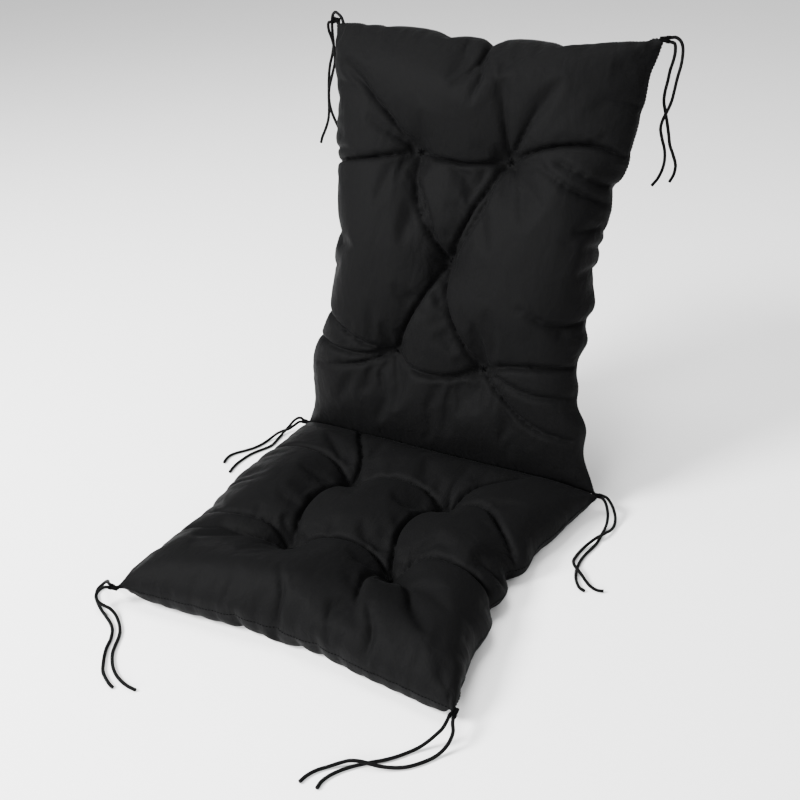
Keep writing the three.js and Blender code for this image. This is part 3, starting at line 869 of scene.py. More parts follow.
def lay_out(pad, a, b):
    """Where a place of the cut cloth comes on the drawn pad: across it and along it from the fold."""
    depth = pad["depth"]
    side = pad["waist"] * np.clip(np.sin(math.pi * b), 0, 1) ** 0.55
    for centre, spread, amount, which in pad["notches"]:
        here = np.where(np.sign(a) == which, 1.0, 0.0)
        side = side + here * amount * np.exp(-(((b * depth - centre) / spread) ** 2))
    end = pad["end_waist"] * np.clip(1 - np.abs(a) ** 2.2, 0, 1) ** 0.6
    end = end + pad["end_lean"] * np.sin(math.pi * a)
    end = end + pad["end_notch"] * np.exp(-(((a * HALF_WIDTH - 0.015) / 0.012) ** 2))
    u = a * (HALF_WIDTH - side)
    v = FOLD_GAP + b * (depth - FOLD_GAP - end)
    return u, v


def bowed(pad, a, b):
    """How far the middle of the pad stands in front of its corners."""
    along = np.sin(math.pi * np.clip(b, 0, 1) ** 0.62)
    at_sides = 0.1 + 0.5 * np.exp(-(((b - 0.22) / 0.14) ** 2))
    return pad["bow"] * along * (at_sides + (1 - at_sides) * (1 - a**2))


def stuffed_shape(pad, a, b, panel):
    """The pad's drawn shape before its cloth settles, and its tufts and corners held in place."""
    u, v = lay_out(pad, a, b)
    depth = pad["depth"]
    cell = bpy.context.scene.chair_pad_stuffing.cell
    free = (panel > 0) & (np.abs(a) < 0.995) & (b > 0.01) & (b < 0.99)
    u, v, holder, strength = lay_on_creases(u, v, free, pad["creases"], cell * 0.52)
    middle = bowed(pad, a, b)
    to_side = (1 - np.abs(a)) * HALF_WIDTH
    to_end = np.minimum(b, 1 - b) * depth
    rise = swell(to_side / pad["run"], 0.45) * swell(to_end / pad["run"], 0.45)
    height = np.where(panel > 0, pad["rise"], -pad["fall"]) * rise
    hold = np.zeros(a.shape)
    at_tuft = np.zeros(a.shape)
    for place, (tu, tv) in pad["tufts"].items():
        away = np.hypot(u - tu, v - tv)
        pit = pad["pits"][place]
        floor = np.where(panel > 0, pit[0], pit[1])
        depth_here = np.exp(-((away / TUFT_REACH) ** 1.5))
        at_tuft = np.maximum(at_tuft, depth_here)
        height = height + (floor - middle - height) * depth_here
        hold = np.where((away < 0.0052) & (panel != 0), 1.0, hold)
    creases = pad["creases"]
    pull = np.maximum(crease_field(u, v, creases, CREASE_WIDTH), strength)
    puckers = crease_field(u, v, pad["puckers"], PUCKER_WIDTH)
    both = np.maximum(pull, puckers * 0.8)
    front = pull * pad["groove"] + puckers * PUCKER_DEPTH
    groove = np.where(panel > 0, front, -puckers * REAR_PUCKER_DEPTH)
    groove = groove * rise * (1 - 0.75 * at_tuft)
    height = height - groove * (hold < 0.5)
    both = np.where(panel > 0, both, puckers * 0.7)
    both = np.maximum(both, np.exp(-((v / 0.085) ** 2)))
    near_corner = (np.abs(a) > 0.975) & ((b < 0.03) | (b > 0.97))
    held_fold = (panel == 0) & (b < 1e-4)
    hold = np.where((near_corner & (panel == 0)) | held_fold, 1.0, hold)
    drawn = np.stack((u, v, middle + height), 1)
    return drawn, hold, np.clip(both, 0, 1), holder, strength


def settle_cloth(obj, hold, pull):
    """Fills the bag, lets its cloth settle over the filling, and says where its places come."""
    stuffing = bpy.context.scene.chair_pad_stuffing
    held = obj.vertex_groups.new(name="held")
    held.add(np.flatnonzero(hold > 0.5).tolist(), 1.0, "REPLACE")
    drawn = obj.vertex_groups.new(name="drawn_in")
    for index in np.flatnonzero(pull > 0.01).tolist():
        drawn.add([index], float(pull[index]), "REPLACE")
    modifier = obj.modifiers.new("Cloth", "CLOTH")
    settings = modifier.settings
    settings.quality = 7
    settings.mass = 0.25
    settings.air_damping = 2.0
    settings.tension_stiffness = 25.0
    settings.compression_stiffness = 12.0
    settings.shear_stiffness = 8.0
    settings.bending_stiffness = 1.5
    settings.tension_damping = 8.0
    settings.compression_damping = 8.0
    settings.shear_damping = 8.0
    settings.bending_damping = 0.5
    settings.vertex_group_mass = "held"
    settings.pin_stiffness = 1.0
    settings.vertex_group_shrink = "drawn_in"
    settings.shrink_min = -stuffing.spare_cloth
    settings.shrink_max = stuffing.crease_pull
    settings.use_pressure = True
    settings.uniform_pressure_force = stuffing.fullness
    settings.effector_weights.gravity = 0.0
    modifier.collision_settings.use_collision = False
    modifier.collision_settings.use_self_collision = False
    modifier.point_cache.frame_start = 1
    modifier.point_cache.frame_end = stuffing.settling
    scene = bpy.context.scene
    for step in range(1, stuffing.settling + 1):
        scene.frame_set(step)
    settled = obj.evaluated_get(bpy.context.evaluated_depsgraph_get())
    co = places_of(settled.data).copy()
    scene.frame_set(1)
    obj.modifiers.remove(modifier)
    obj.vertex_groups.clear()
    return co


def limit_move(before, after, most):
    """The settled places, with none further than most from where it was drawn."""
    move = after - before
    size = np.linalg.norm(move, axis=1, keepdims=True)
    return before + move * np.minimum(1.0, most / np.maximum(size, 1e-9))


def press_flat(w, level, ease):
    """Heights pressed against a flat level below them, easing into it."""
    low = w < level + ease
    pressed = level + ease * np.exp(np.clip((w - level - ease) / ease, -30, 0))
    return np.where(low, pressed, w)


def press_at_fold(v, w, slope, ease=0.004):
    """Heights near the fold, kept on their own side of where the two pads press together."""
    most = np.maximum(v - FOLD_GAP, 0) * slope + 0.0015
    return np.where(w > most - ease, most - ease * np.exp(np.clip((most - ease - w) / ease, -30, 0)), w)


def keep_apart(a, b, panel, w, columns, rows):
    """Heights with the front cloth kept clear of the rear cloth, down to nothing at the seams."""
    i = np.rint((a + 1) / 2 * columns).astype(int)
    j = np.rint(b * rows).astype(int)
    rear = np.zeros((columns + 1, rows + 1))
    rear[i[panel <= 0], j[panel <= 0]] = w[panel <= 0]
    to_side = np.clip((1 - np.abs(a)) * 12, 0, 1)
    to_end = np.clip(np.minimum(b, 1 - b) * 24, 0, 1)
    return np.where(panel > 0, np.maximum(w, rear[i, j] + 0.005 * to_side * to_end), w)


def place_seat(local):
    """The seat pad's own places, across, along from the fold and up from the seam, in the frame."""
    u, v, w = local.T
    return np.stack((u, FOLD.y - v, FOLD.z + w), 1)


def place_back(local):
    """The back pad's own places in the frame."""
    u, v, w = local.T
    along, out = np.array(UP_THE_BACK), np.array(OUT_OF_THE_BACK)
    base = np.array(FOLD) + v[:, None] * along + w[:, None] * out
    base[:, 0] += u
    return base


def seat_plan():
    """The seat pad's sizes."""
    stuffing = bpy.context.scene.chair_pad_stuffing
    return {
        "depth": SEAT_DEPTH,
        "bow": 0.0,
        "rise": stuffing.seat_rise,
        "fall": 0.026,
        "run": 0.07,
        "waist": 0.012,
        "end_waist": 0.0,
        "end_lean": 0.002,
        "end_notch": 0.0,
        "notches": (
            (0.215, 0.022, 0.014, 1),
            (0.25, 0.04, 0.008, 1),
            (0.29, 0.022, 0.012, 1),
            (0.15, 0.04, 0.008, 1),
            (0.36, 0.05, 0.006, 1),
            (0.02, 0.03, -0.006, 1),
            (0.13, 0.02, 0.004, -1),
            (0.2, 0.1, -0.023, -1),
            (0.11, 0.05, -0.003, -1),
            (0.4, 0.04, 0.002, -1),
        ),
        "tufts": SEAT_TUFTS,
        "pits": {place: (0.004, -0.01) for place in SEAT_TUFTS},
        "creases": SEAT_CREASES,
        "puckers": seam_puckers(SEAT_DEPTH, 5) + tuft_puckers(SEAT_TUFTS, 6),
        "groove": 0.009,
        "level": -FOLD.z + 0.0004,
        "ease": 0.006,
        "fold_slope": 1.0,
        "place": place_seat,
    }


def back_plan():
    """The back pad's sizes."""
    stuffing = bpy.context.scene.chair_pad_stuffing
    return {
        "depth": BACK_HEIGHT,
        "bow": stuffing.back_bow,
        "rise": stuffing.back_rise,
        "fall": 0.024,
        "run": 0.07,
        "waist": 0.016,
        "end_waist": -0.0045,
        "end_lean": 0.003,
        "end_notch": 0.003,
        "notches": (
            (0.175, 0.022, 0.014, 1),
            (0.3, 0.03, 0.003, 1),
            (0.385, 0.05, -0.001, 1),
            (0.43, 0.02, 0.002, 1),
            (0.24, 0.025, 0.01, 1),
            (0.2, 0.02, 0.012, 1),
            (0.135, 0.03, 0.02, 1),
            (0.06, 0.04, 0.016, 1),
            (0.54, 0.04, -0.001, 1),
            (0.37, 0.03, 0.002, -1),
            (0.585, 0.02, 0.003, 1),
            (0.525, 0.03, 0.004, -1),
            (0.05, 0.05, 0.01, -1),
            (0.19, 0.06, 0.014, -1),
            (0.33, 0.09, 0.006, -1),
            (0.435, 0.012, 0.006, -1),
        ),
        "tufts": BACK_TUFTS,
        "pits": {
            "lower_left": (0.048, 0.034),
            "lower_right": (0.048, 0.034),
            "middle": (0.041, 0.027),
            "upper_left": (0.034, 0.02),
            "upper_right": (0.034, 0.02),
        },
        "creases": BACK_CREASES,
        "puckers": seam_puckers(BACK_HEIGHT, 9) + tuft_puckers(BACK_TUFTS, 10),
        "groove": 0.009,
        "level": -0.012,
        "ease": 0.006,
        "fold_slope": 2.2,
        "place": place_back,
    }


PLANS = {"seat": seat_plan, "back": back_plan}
SETTLED = {}


def make_cover(which):
    """A cover, cut, stuffed, settled and put in its place."""
    pad = PLANS[which]()
    cell = bpy.context.scene.chair_pad_stuffing.cell
    columns = round(2 * HALF_WIDTH / cell)
    rows = round(pad["depth"] / cell)
    obj = cut_bag(f"{which}_cover", columns, rows)
    mesh = obj.data
    flat = places_of(mesh)
    panel = np.empty(len(mesh.vertices), int)
    mesh.attributes["panel"].data.foreach_get("value", panel)
    a, b = flat[:, 0], (flat[:, 1] + 1) / 2
    drawn, hold, pull, holder, strength = stuffed_shape(pad, a, b, panel)
    cloth = mesh.uv_layers["cloth"]
    uv = np.empty(len(mesh.loops) * 2)
    cloth.data.foreach_get("uv", uv)
    uv = uv.reshape(-1, 2) * (HALF_WIDTH, pad["depth"] / 2)
    cloth.data.foreach_set("uv", uv.ravel())
    mesh.vertices.foreach_set("co", drawn.ravel())
    settled = drawn
    free = 0.004 + 0.03 * np.clip(drawn[:, 1:2] / 0.12, 0, 1)
    settled = limit_move(drawn, settle_cloth(obj, hold, pull), free)
    u, v, w = settled.T
    w = w - CREASE_DROP * strength * (hold < 0.5)
    w = press_flat(w, pad["level"], pad["ease"])
    w = keep_apart(a, b, panel, w, columns, rows)
    front = press_at_fold(v, w, pad["fold_slope"])
    w = np.where(panel >= 0, front, w)
    local = np.stack((u, v, w), 1)
    SETTLED[which] = (a, b, panel, local, columns, rows)
    mesh.vertices.foreach_set("co", pad["place"](local).ravel())
    gather = mesh.attributes.new("gather", "FLOAT", "POINT")
    to_seam = np.minimum(1 - np.abs(a), 2 * np.minimum(b, 1 - b)) * HALF_WIDTH
    near = np.exp(-to_seam / 0.03)
    for tu, tv in pad["tufts"].values():
        near = np.maximum(near, np.exp(-np.hypot(u - tu, v - tv) / 0.035))
    near = np.maximum(near, pull * 0.8)
    gather.data.foreach_set("value", np.clip(near, 0, 1).astype(np.float32))
    # Painted sheen: a mask that is strongest at the seams and fades within a few millimetres, to colour
    # the cloth lighter there.
    painted_seam_sheen = mesh.attributes.new("painted_seam_sheen", "FLOAT", "POINT")
    seam_sheen = np.exp(-to_seam / 0.006) * 0.8
    painted_seam_sheen.data.foreach_set("value", seam_sheen.astype(np.float32))
    sharp = mesh.attributes.new("crease_edge", "FLOAT", "EDGE")
    ends = np.empty(len(mesh.edges) * 2, int)
    mesh.edges.foreach_get("vertices", ends)
    ends = ends.reshape(-1, 2)
    seam = (panel[ends[:, 0]] == 0) & (panel[ends[:, 1]] == 0)
    same = (holder[ends[:, 0]] >= 0) & (holder[ends[:, 0]] == holder[ends[:, 1]])
    folded = np.minimum(strength[ends[:, 0]], strength[ends[:, 1]]) * 0.75 * same
    sharp.data.foreach_set("value", np.where(seam, 0.9, folded).astype(np.float32))
    smoother = obj.modifiers.new("Smooth Cloth", "SUBSURF")
    smoother.levels = 1
    smoother.render_levels = 1
    smoother.uv_smooth = "NONE"
    finer = bpy.data.meshes.new_from_object(obj.evaluated_get(bpy.context.evaluated_depsgraph_get()))
    obj.modifiers.remove(smoother)
    obj.data = finer
    bpy.data.meshes.remove(mesh)
    finer.name = f"{which}_cover"
    give_finish(obj, "cloth")
    return obj


def make_stuffing(which):
    """The filling inside a cover: the same pad, drawn in from the cloth."""
    a, b, panel, local, columns, rows = SETTLED[which]
    pad = PLANS[which]()
    i = np.rint((a + 1) / 2 * columns).astype(int)
    j = np.rint(b * rows).astype(int)
    front = np.zeros((columns + 1, rows + 1, 3))
    rear = np.zeros((columns + 1, rows + 1, 3))
    for sheet, side in ((front, panel >= 0), (rear, panel <= 0)):
        sheet[i[side], j[side]] = local[side]
    middle = (front + rear) / 2
    thin = np.linalg.norm(front - rear, axis=2)
    least = thin.copy()
    for di in range(-5, 6):
        for dj in range(-5, 6):
            least = np.minimum(least, np.roll(thin, (di, dj), axis=(0, 1)))
    step = 2
    margin = 6
    across = (columns - 2 * margin) // step
    along = (rows - 2 * margin) // step
    obj = cut_bag(f"{which}_stuffing", across, along)
    mesh = obj.data
    flat = places_of(mesh)
    sides = np.empty(len(mesh.vertices), int)
    mesh.attributes["panel"].data.foreach_get("value", sides)
    i = margin + np.rint((flat[:, 0] + 1) / 2 * across).astype(int) * step
    j = margin + np.rint((flat[:, 1] + 1) / 2 * along).astype(int) * step
    core = middle[i, j]
    face = np.where((sides > 0)[:, None], front[i, j], rear[i, j])
    share = FILLING_SHARE * least[i, j] / np.maximum(thin[i, j], 1e-6)
    for tu, tv in pad["tufts"].values():
        away = np.hypot(core[:, 0] - tu, core[:, 1] - tv)
        share = share * (1 - 0.9 * np.exp(-((away / 0.022) ** 2)))
    share = np.where(sides == 0, 0.0, share)[:, None]
    mesh.vertices.foreach_set("co", pad["place"](core + (face - core) * share).ravel())
    mesh.update()
    give_finish(obj, "filling")
    return obj


def seam_path(which):
    """A cover's seam as a closed row of points in the frame, from the left of the fold."""
    a, b, panel, local, columns, rows = SETTLED[which]
    place = PLANS[which]()["place"]
    on_seam = panel == 0
    turn = np.arctan2(b[on_seam] * 2 - 1, a[on_seam])
    order = np.argsort(turn)
    return place(local[on_seam][order])


def even_points(path, pitch):
    """Points along a closed path at an even spacing."""
    closed = np.vstack((path, path[:1]))
    steps = np.linalg.norm(np.diff(closed, axis=0), axis=1)
    run = np.concatenate(([0], np.cumsum(steps)))
    count = round(run[-1] / pitch)
    at = np.linspace(0, run[-1], count, endpoint=False)
    return np.stack([np.interp(at, run, closed[:, k]) for k in range(3)], 1)


# ---------------------------------------------------------------- ties


def smooth_route(points, steps=8):
    """A centripetal curve through the points."""
    route = []
    for index in range(len(points) - 1):
        p1, p2 = points[index], points[index + 1]
        p0 = points[index - 1] if index else p1 + (p1 - p2)
        p3 = points[index + 2] if index + 2 < len(points) else p2 + (p2 - p1)
        gaps = [max((q - p).length ** 0.5, 1e-4) for p, q in ((p0, p1), (p1, p2), (p2, p3))]
        start = (p1 - p0) / gaps[0] - (p2 - p0) / (gaps[0] + gaps[1]) + (p2 - p1) / gaps[1]
        finish = (p2 - p1) / gaps[1] - (p3 - p1) / (gaps[1] + gaps[2]) + (p3 - p2) / gaps[2]
        start = start * gaps[1]
        finish = finish * gaps[1]
        for step in range(steps):
            t = step / steps
            t2, t3 = t * t, t * t * t
            route.append(
                p1 * (2 * t3 - 3 * t2 + 1)
                + start * (t3 - 2 * t2 + t)
                + p2 * (3 * t2 - 2 * t3)
                + finish * (t3 - t2)
            )
    route.append(points[-1].copy())
    return route


def tie_points(name):
    """A tie's route in the frame, from its corner tack to its free end."""
    corner_name, end = name.rsplit("_", 1)
    corner = CORNERS[corner_name]
    points = []
    if name in LYING_TIES:
        for dx, dy, lift, over in LYING_TIES[name]:
            z = TIE_RESTING_HEIGHT + (corner.z - TIE_RESTING_HEIGHT) * lift
            z += over * 2 * TIE_RADIUS
            points.append(Vector((corner.x + dx, corner.y + dy, z)))
    else:
        points = [corner + Vector(offset) for offset in HANGING_TIES[name]]
    if name == "top_left_a":
        return points
    outwards, across = tack_axes(corner_name)
    side = 0.00265 if end == "a" else -0.00265
    return [corner + outwards * 0.0081 + across * side] + points


def tack_axes(corner_name):
    """The way that a corner's ties leave, and the way that they lie side by side."""
    if corner_name == "front_right":
        return Vector((0, -1, 0)), Vector((-1, 0, 0))
    outwards = Vector((-1 if corner_name.endswith("left") else 1, 0, 0))
    tilt = math.pi / 2 - LEAN if corner_name.startswith("top") else 0
    return outwards, Vector((0, math.cos(tilt), math.sin(tilt)))


def body_at(corner_name):
    """The body that a corner moves with."""
    return "back" if corner_name.startswith("top") else "seat"


def make_tie(name):
    """One tie: a round braided cord along its route."""
    route = smooth_route(tie_points(name))
    curve = bpy.data.curves.new(f"tie_cord_{name}", "CURVE")
    curve.dimensions = "3D"
    curve.bevel_depth = TIE_RADIUS
    curve.bevel_resolution = 3
    curve.use_fill_caps = True
    spline = curve.splines.new("POLY")
    spline.points.add(len(route) - 1)
    for point, place in zip(spline.points, route):
        point.co = (*place, 1)
    holder = bpy.data.objects.new(f"tie_route_{name}", curve)
    bpy.context.scene.collection.objects.link(holder)
    bpy.context.view_layer.update()
    mesh = bpy.data.meshes.new_from_object(
        holder.evaluated_get(bpy.context.evaluated_depsgraph_get())
    )
    bpy.data.objects.remove(holder)
    mesh.name = f"tie_cord_{name}"
    mesh.polygons.foreach_set("use_smooth", [True] * len(mesh.polygons))
    obj = link_mesh(f"tie_cord_{name}", mesh)
    wrap_cord(mesh, route)
    give_finish(obj, "cord")
    corner_name = name.rsplit("_", 1)[0]
    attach(obj, body_at(corner_name))
    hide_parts(f"tie_{name}")
    return obj


def wrap_cord(mesh, route):
    """Coordinates for the braid: metres along the cord, and turns round it."""
    co = places_of(mesh)
    line = np.array([tuple(p) for p in route])
    run = np.concatenate(([0], np.cumsum(np.linalg.norm(np.diff(line, axis=0), axis=1))))
    tangent = np.gradient(line, axis=0)
    tangent /= np.linalg.norm(tangent, axis=1, keepdims=True)
    side = np.zeros_like(line)
    aside = np.cross(tangent[0], (0.3, 0.2, 0.9))
    for index, direction in enumerate(tangent):
        aside = aside - direction * (aside @ direction)
        aside = aside / np.linalg.norm(aside)
        side[index] = aside
    up = np.cross(tangent, side)
    gaps = np.linalg.norm(co[:, None, :] - line[None, :, :], axis=2)
    nearest = gaps.argmin(1)
    away = co - line[nearest]
    turn = np.arctan2((away * up[nearest]).sum(1), (away * side[nearest]).sum(1)) / math.tau
    layer = mesh.uv_layers.get("cord") or mesh.uv_layers.new(name="cord")
    uv = np.empty((len(mesh.loops), 2))
    for polygon in mesh.polygons:
        loops = list(polygon.loop_indices)
        points = [mesh.loops[k].vertex_index for k in loops]
        around = turn[points]
        if around.max() - around.min() > 0.5:
            around = np.where(around < 0, around + 1, around)
        uv[loops, 0] = run[nearest[points]]
        uv[loops, 1] = around
    layer.data.foreach_set("uv", uv.ravel())
    for other in [x for x in mesh.uv_layers if x.name != "cord"]:
        mesh.uv_layers.remove(other)


# ---------------------------------------------------------------- operators


def follow_fold(obj):
    """Bakes a back pad piece's placing into its mesh, without attaching it to any body."""
    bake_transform(obj)


class CHAIRPAD_OT_ties(bpy.types.Operator):
    """Lays the twelve ties: two at each corner, those at the top hanging and the rest on the floor"""

    bl_idname = "chair_pad.ties"
    bl_label = "Ties"

    def execute(self, context):
        for name in (*LYING_TIES, *HANGING_TIES):
            make_tie(name)
        return {"FINISHED"}


class CHAIRPAD_OT_seat_cover(bpy.types.Operator):
    """Cuts, stuffs and tufts the seat pad's cover"""

    bl_idname = "chair_pad.seat_cover"
    bl_label = "Seat Cover"

    def execute(self, context):
        obj = make_cover("seat")
        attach(obj, "seat")
        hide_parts("seat_top_panel", "seat_bottom_panel")
        return {"FINISHED"}


class CHAIRPAD_OT_back_cover(bpy.types.Operator):
    """Cuts, stuffs and tufts the back pad's cover"""

    bl_idname = "chair_pad.back_cover"
    bl_label = "Back Cover"

    def execute(self, context):
        obj = make_cover("back")
        follow_fold(obj)
        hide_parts("back_front_panel", "back_rear_panel")
        return {"FINISHED"}


class CHAIRPAD_OT_stuffing(bpy.types.Operator):
    """Fills both pads"""

    bl_idname = "chair_pad.stuffing"
    bl_label = "Stuffing"

    def execute(self, context):
        seat = make_stuffing("seat")
        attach(seat, "seat")
        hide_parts("seat_filling")
        back = make_stuffing("back")
        follow_fold(back)
        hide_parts("back_filling")
        return {"FINISHED"}


class CHAIRPAD_OT_edge_seams(bpy.types.Operator):
    """Sews the edge of each cover with a row of small stitches"""

    bl_idname = "chair_pad.edge_seams"
    bl_label = "Edge Seams"

    def execute(self, context):
        sewing = context.scene.chair_pad_sewing
        for which in ("seat", "back"):
            points = even_points(seam_path(which), sewing.stitch_pitch)
            following = np.roll(points, -1, axis=0)
            bm = bmesh.new()
            for start, end in zip(points, following):
                run = end - start
                add_stitch(bm, start + run * 0.09, end - run * 0.09, sewing.stitch_radius)
            obj = finish_mesh(f"{which}_seam_stitches", bm)
            give_finish(obj, "thread")
            if which == "back":
                follow_fold(obj)
            else:
                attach(obj, "seat")
            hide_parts(f"{which}_edge_seam")
        return {"FINISHED"}


class CHAIRPAD_OT_fold_seam(bpy.types.Operator):
    """Whips the two pads together along the fold"""

    bl_idname = "chair_pad.fold_seam"
    bl_label = "Fold Seam"

    def execute(self, context):
        sewing = context.scene.chair_pad_sewing
        bm = bmesh.new()
        count = round(2 * (HALF_WIDTH - 0.012) / sewing.fold_pitch)
        for index in range(count + 1):
            x = -HALF_WIDTH + 0.012 + index * sewing.fold_pitch
            if x > HALF_WIDTH - 0.011:
                break
            add_ring(
                bm,
                (x, FOLD.y, FOLD.z),
                (1, 0.28, 0.1),
                0.0042,
                sewing.fold_radius,
                steps=14,
                sides=6,
                squash=0.8,
                across=(0, 1, 0.7),
            )
        obj = finish_mesh("fold_whip_stitches", bm)
        give_finish(obj, "thread")
        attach(obj, "seat")
        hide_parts("fold_seam")
        return {"FINISHED"}


def make_tuft(which, place):
    """One tuft: thread crossed over the cloth at the front, tied through the pad and knotted behind."""
    radius = bpy.context.scene.chair_pad_sewing.tuft_radius
    pad = PLANS[which]()
    u, v = pad["tufts"][place]
    front, rear = pad["pits"][place]
    bm = bmesh.new()
    for level, side in ((front, 1), (rear, -1)):
        for turn in (0.4, 1.45, 2.5):
            reach = 0.0058 if side > 0 else 0.0045
            du, dv = reach * math.cos(turn), reach * math.sin(turn)
            points = []
            for step in range(9):
                t = step / 8 * 2 - 1
                lift = radius * (1.5 - 1.9 * t * t) + radius * 0.5 * turn / 2.5
                points.append(Vector((u + du * t, v + dv * t, level + side * lift)))
            add_thread(bm, points, radius, 7)
        for ring, (lift, tilt) in enumerate(((0.0013, 0.25), (0.0024, -0.3))):
            add_ring(
                bm,
                (u, v, level + side * lift),
                (tilt, 0.15 * (ring - 0.5), 1),
                0.0016 - 0.0004 * ring,
                radius * 0.9,
                steps=14,
                sides=7,
                squash=0.8,
            )
    add_thread(bm, [(u, v, rear - 0.001), (u, v, (front + rear) / 2), (u, v, front + 0.001)], radius, 7)
    for vert in bm.verts:
        placed = pad["place"](np.array([vert.co[:]]))[0]
        vert.co = placed
    obj = finish_mesh(f"{which}_tuft_thread_{place}", bm)
    give_finish(obj, "thread")
    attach(obj, which)
    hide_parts(f"{which}_tuft_{place}")
    return obj


class CHAIRPAD_OT_tufts(bpy.types.Operator):
    """Ties the four tufts of the seat and the five of the back"""

    bl_idname = "chair_pad.tufts"
    bl_label = "Tufts"

    def execute(self, context):
        for which, tufts in (("seat", SEAT_TUFTS), ("back", BACK_TUFTS)):
            for place in tufts:
                make_tuft(which, place)
        return {"FINISHED"}


class CHAIRPAD_OT_corner_tacks(bpy.types.Operator):
    """Binds each pair of ties to its corner with turns of thread"""

    bl_idname = "chair_pad.corner_tacks"
    bl_label = "Corner Tacks"

    def execute(self, context):
        wraps = context.scene.chair_pad_sewing.tack_wraps
        for corner_name in CORNERS:
            node = f"corner_tack_{corner_name}"
            low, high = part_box(node)
            outwards, across = tack_axes(corner_name)
            centre = (low + high) / 2
            corners = [
                Vector((x, y, z)) - centre
                for x in (low.x, high.x)
                for y in (low.y, high.y)
                for z in (low.z, high.z)
            ]
            length = max(c.dot(outwards) for c in corners) * 2
            thread = length / wraps * 0.56
            bm = bmesh.new()
            for wrap in range(wraps):
                at = (wrap + 0.5) / wraps - 0.5
                tilt = across * (0.1 * math.sin(wrap * 2.4))
                add_ring(
                    bm,
                    centre + outwards * (at * (length - thread)),
                    outwards + tilt,
                    0.0053 - thread / 2,
                    thread / 1.7,
                    steps=22,
                    sides=7,
                    squash=0.62,
                    across=across,
                )
            for side in (-1, 1):
                start = centre - outwards * 0.011 + across * (side * 0.0012)
                end = centre + outwards * (length * 0.75) + across * (side * 0.0027)
                points = [start.lerp(end, t / 5) for t in range(6)]
                add_thread(bm, points, TIE_RADIUS * 0.97, 12)
            obj = finish_mesh(f"corner_binding_{corner_name}", bm)
            give_finish(obj, "thread")
            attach(obj, body_at(corner_name))
            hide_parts(node)
        return {"FINISHED"}


class CHAIRPAD_OT_camera(bpy.types.Operator):
    """Sets up the studio camera"""

    bl_idname = "chair_pad.camera"
    bl_label = "Camera"

    def execute(self, context):
        data = bpy.data.cameras.new("studio_camera")
        data.lens = 48.19
        data.sensor_width = 36
        data.clip_start = 0.05
        camera = link_mesh("studio_camera", data)
        eye = Vector((0.64519, -1.00993, 0.92466))
        target = Vector((0.0164, 0.0832, 0.2108))
        turn = (target - eye).to_track_quat("-Z", "Y").to_matrix().to_4x4()
        roll = Matrix.Rotation(-0.0476, 4, "Z")
        camera.matrix_world = Matrix.Translation(eye) @ turn @ roll
        context.scene.camera = camera
        return {"FINISHED"}


class CHAIRPAD_OT_stage(bpy.types.Operator):
    """Sets the pad on a plain pale floor in soft studio light"""

    bl_idname = "chair_pad.stage"
    bl_label = "Stage"

    def execute(self, context):
        bm = bmesh.new()
        lay = Matrix.Translation((0, 0, -0.0004))
        bmesh.ops.create_grid(bm, x_segments=8, y_segments=8, size=6, matrix=lay)
        floor = finish_mesh("pale_floor", bm, smooth=False)
        give_finish(floor, "floor")
        world = bpy.data.worlds.new("studio")
        world.use_nodes = True
        background = world.node_tree.nodes["Background"]
        background.inputs["Color"].default_value = (1, 1, 1, 1)
        background.inputs["Strength"].default_value = 0.85
        context.scene.world = world
        lamps = (
            ("key_light", (-1.6, -1.6, 2.1), 1.1, 330.0),
            ("top_light", (-0.4, 0.3, 2.8), 1.4, 90.0),
            ("front_light", (0.3, -2.6, 1.1), 1.4, 140.0),
        )
        for name, place, size, power in lamps:
            data = bpy.data.lights.new(name, "AREA")
            data.shape = "DISK"
            data.size = size
            data.energy = power
            lamp = link_mesh(name, data)
            aim = Vector((0, 0.05, 0.2)) - Vector(place)
            lamp.matrix_world = (
                Matrix.Translation(place) @ aim.to_track_quat("-Z", "Y").to_matrix().to_4x4()
            )
        return {"FINISHED"}


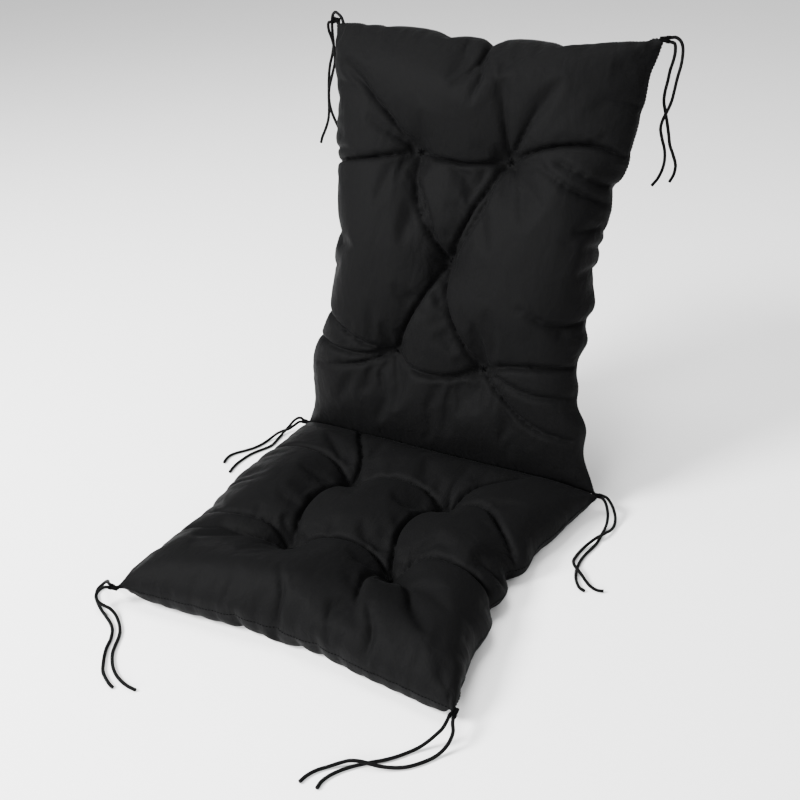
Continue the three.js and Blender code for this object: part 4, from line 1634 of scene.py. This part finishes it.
PIECES = (
    "camera",
    "ties",
    "seat_cover",
    "back_cover",
    "stuffing",
    "edge_seams",
    "fold_seam",
    "tufts",
    "corner_tacks",
    "stage",
)


class CHAIRPAD_PT_panel(bpy.types.Panel):
    """Sizes, colours and pieces of the chair pad"""

    bl_idname = "CHAIRPAD_PT_panel"
    bl_label = "Chair Pad"
    bl_space_type = "VIEW_3D"
    bl_region_type = "UI"
    bl_category = "Chair Pad"

    def draw(self, context):
        layout = self.layout
        for label, name in (
            ("Stuffing", "chair_pad_stuffing"),
            ("Sewing", "chair_pad_sewing"),
            ("Finish", "chair_pad_finish"),
        ):
            box = layout.box()
            box.label(text=label)
            group = getattr(context.scene, name)
            for prop in group.bl_rna.properties:
                if not prop.is_readonly and prop.identifier != "name":
                    box.prop(group, prop.identifier)
        for piece in PIECES:
            layout.operator(f"chair_pad.{piece}")


CLASSES = (
    ChairPadStuffing,
    ChairPadSewing,
    ChairPadFinish,
    CHAIRPAD_OT_camera,
    CHAIRPAD_OT_ties,
    CHAIRPAD_OT_seat_cover,
    CHAIRPAD_OT_back_cover,
    CHAIRPAD_OT_stuffing,
    CHAIRPAD_OT_edge_seams,
    CHAIRPAD_OT_fold_seam,
    CHAIRPAD_OT_tufts,
    CHAIRPAD_OT_corner_tacks,
    CHAIRPAD_OT_stage,
    CHAIRPAD_PT_panel,
)


def register():
    """Registers the settings, the operators and the panel."""
    for cls in CLASSES:
        bpy.utils.register_class(cls)
    bpy.types.Scene.chair_pad_stuffing = bpy.props.PointerProperty(type=ChairPadStuffing)
    bpy.types.Scene.chair_pad_sewing = bpy.props.PointerProperty(type=ChairPadSewing)
    bpy.types.Scene.chair_pad_finish = bpy.props.PointerProperty(type=ChairPadFinish)


def unregister():
    """Takes the settings, the operators and the panel away again."""
    del bpy.types.Scene.chair_pad_finish
    del bpy.types.Scene.chair_pad_sewing
    del bpy.types.Scene.chair_pad_stuffing
    for cls in reversed(CLASSES):
        bpy.utils.unregister_class(cls)


def main():
    """Makes every piece in order."""
    register()
    for piece in PIECES:
        getattr(bpy.ops.chair_pad, piece)()


if __name__ == "__main__":
    main()
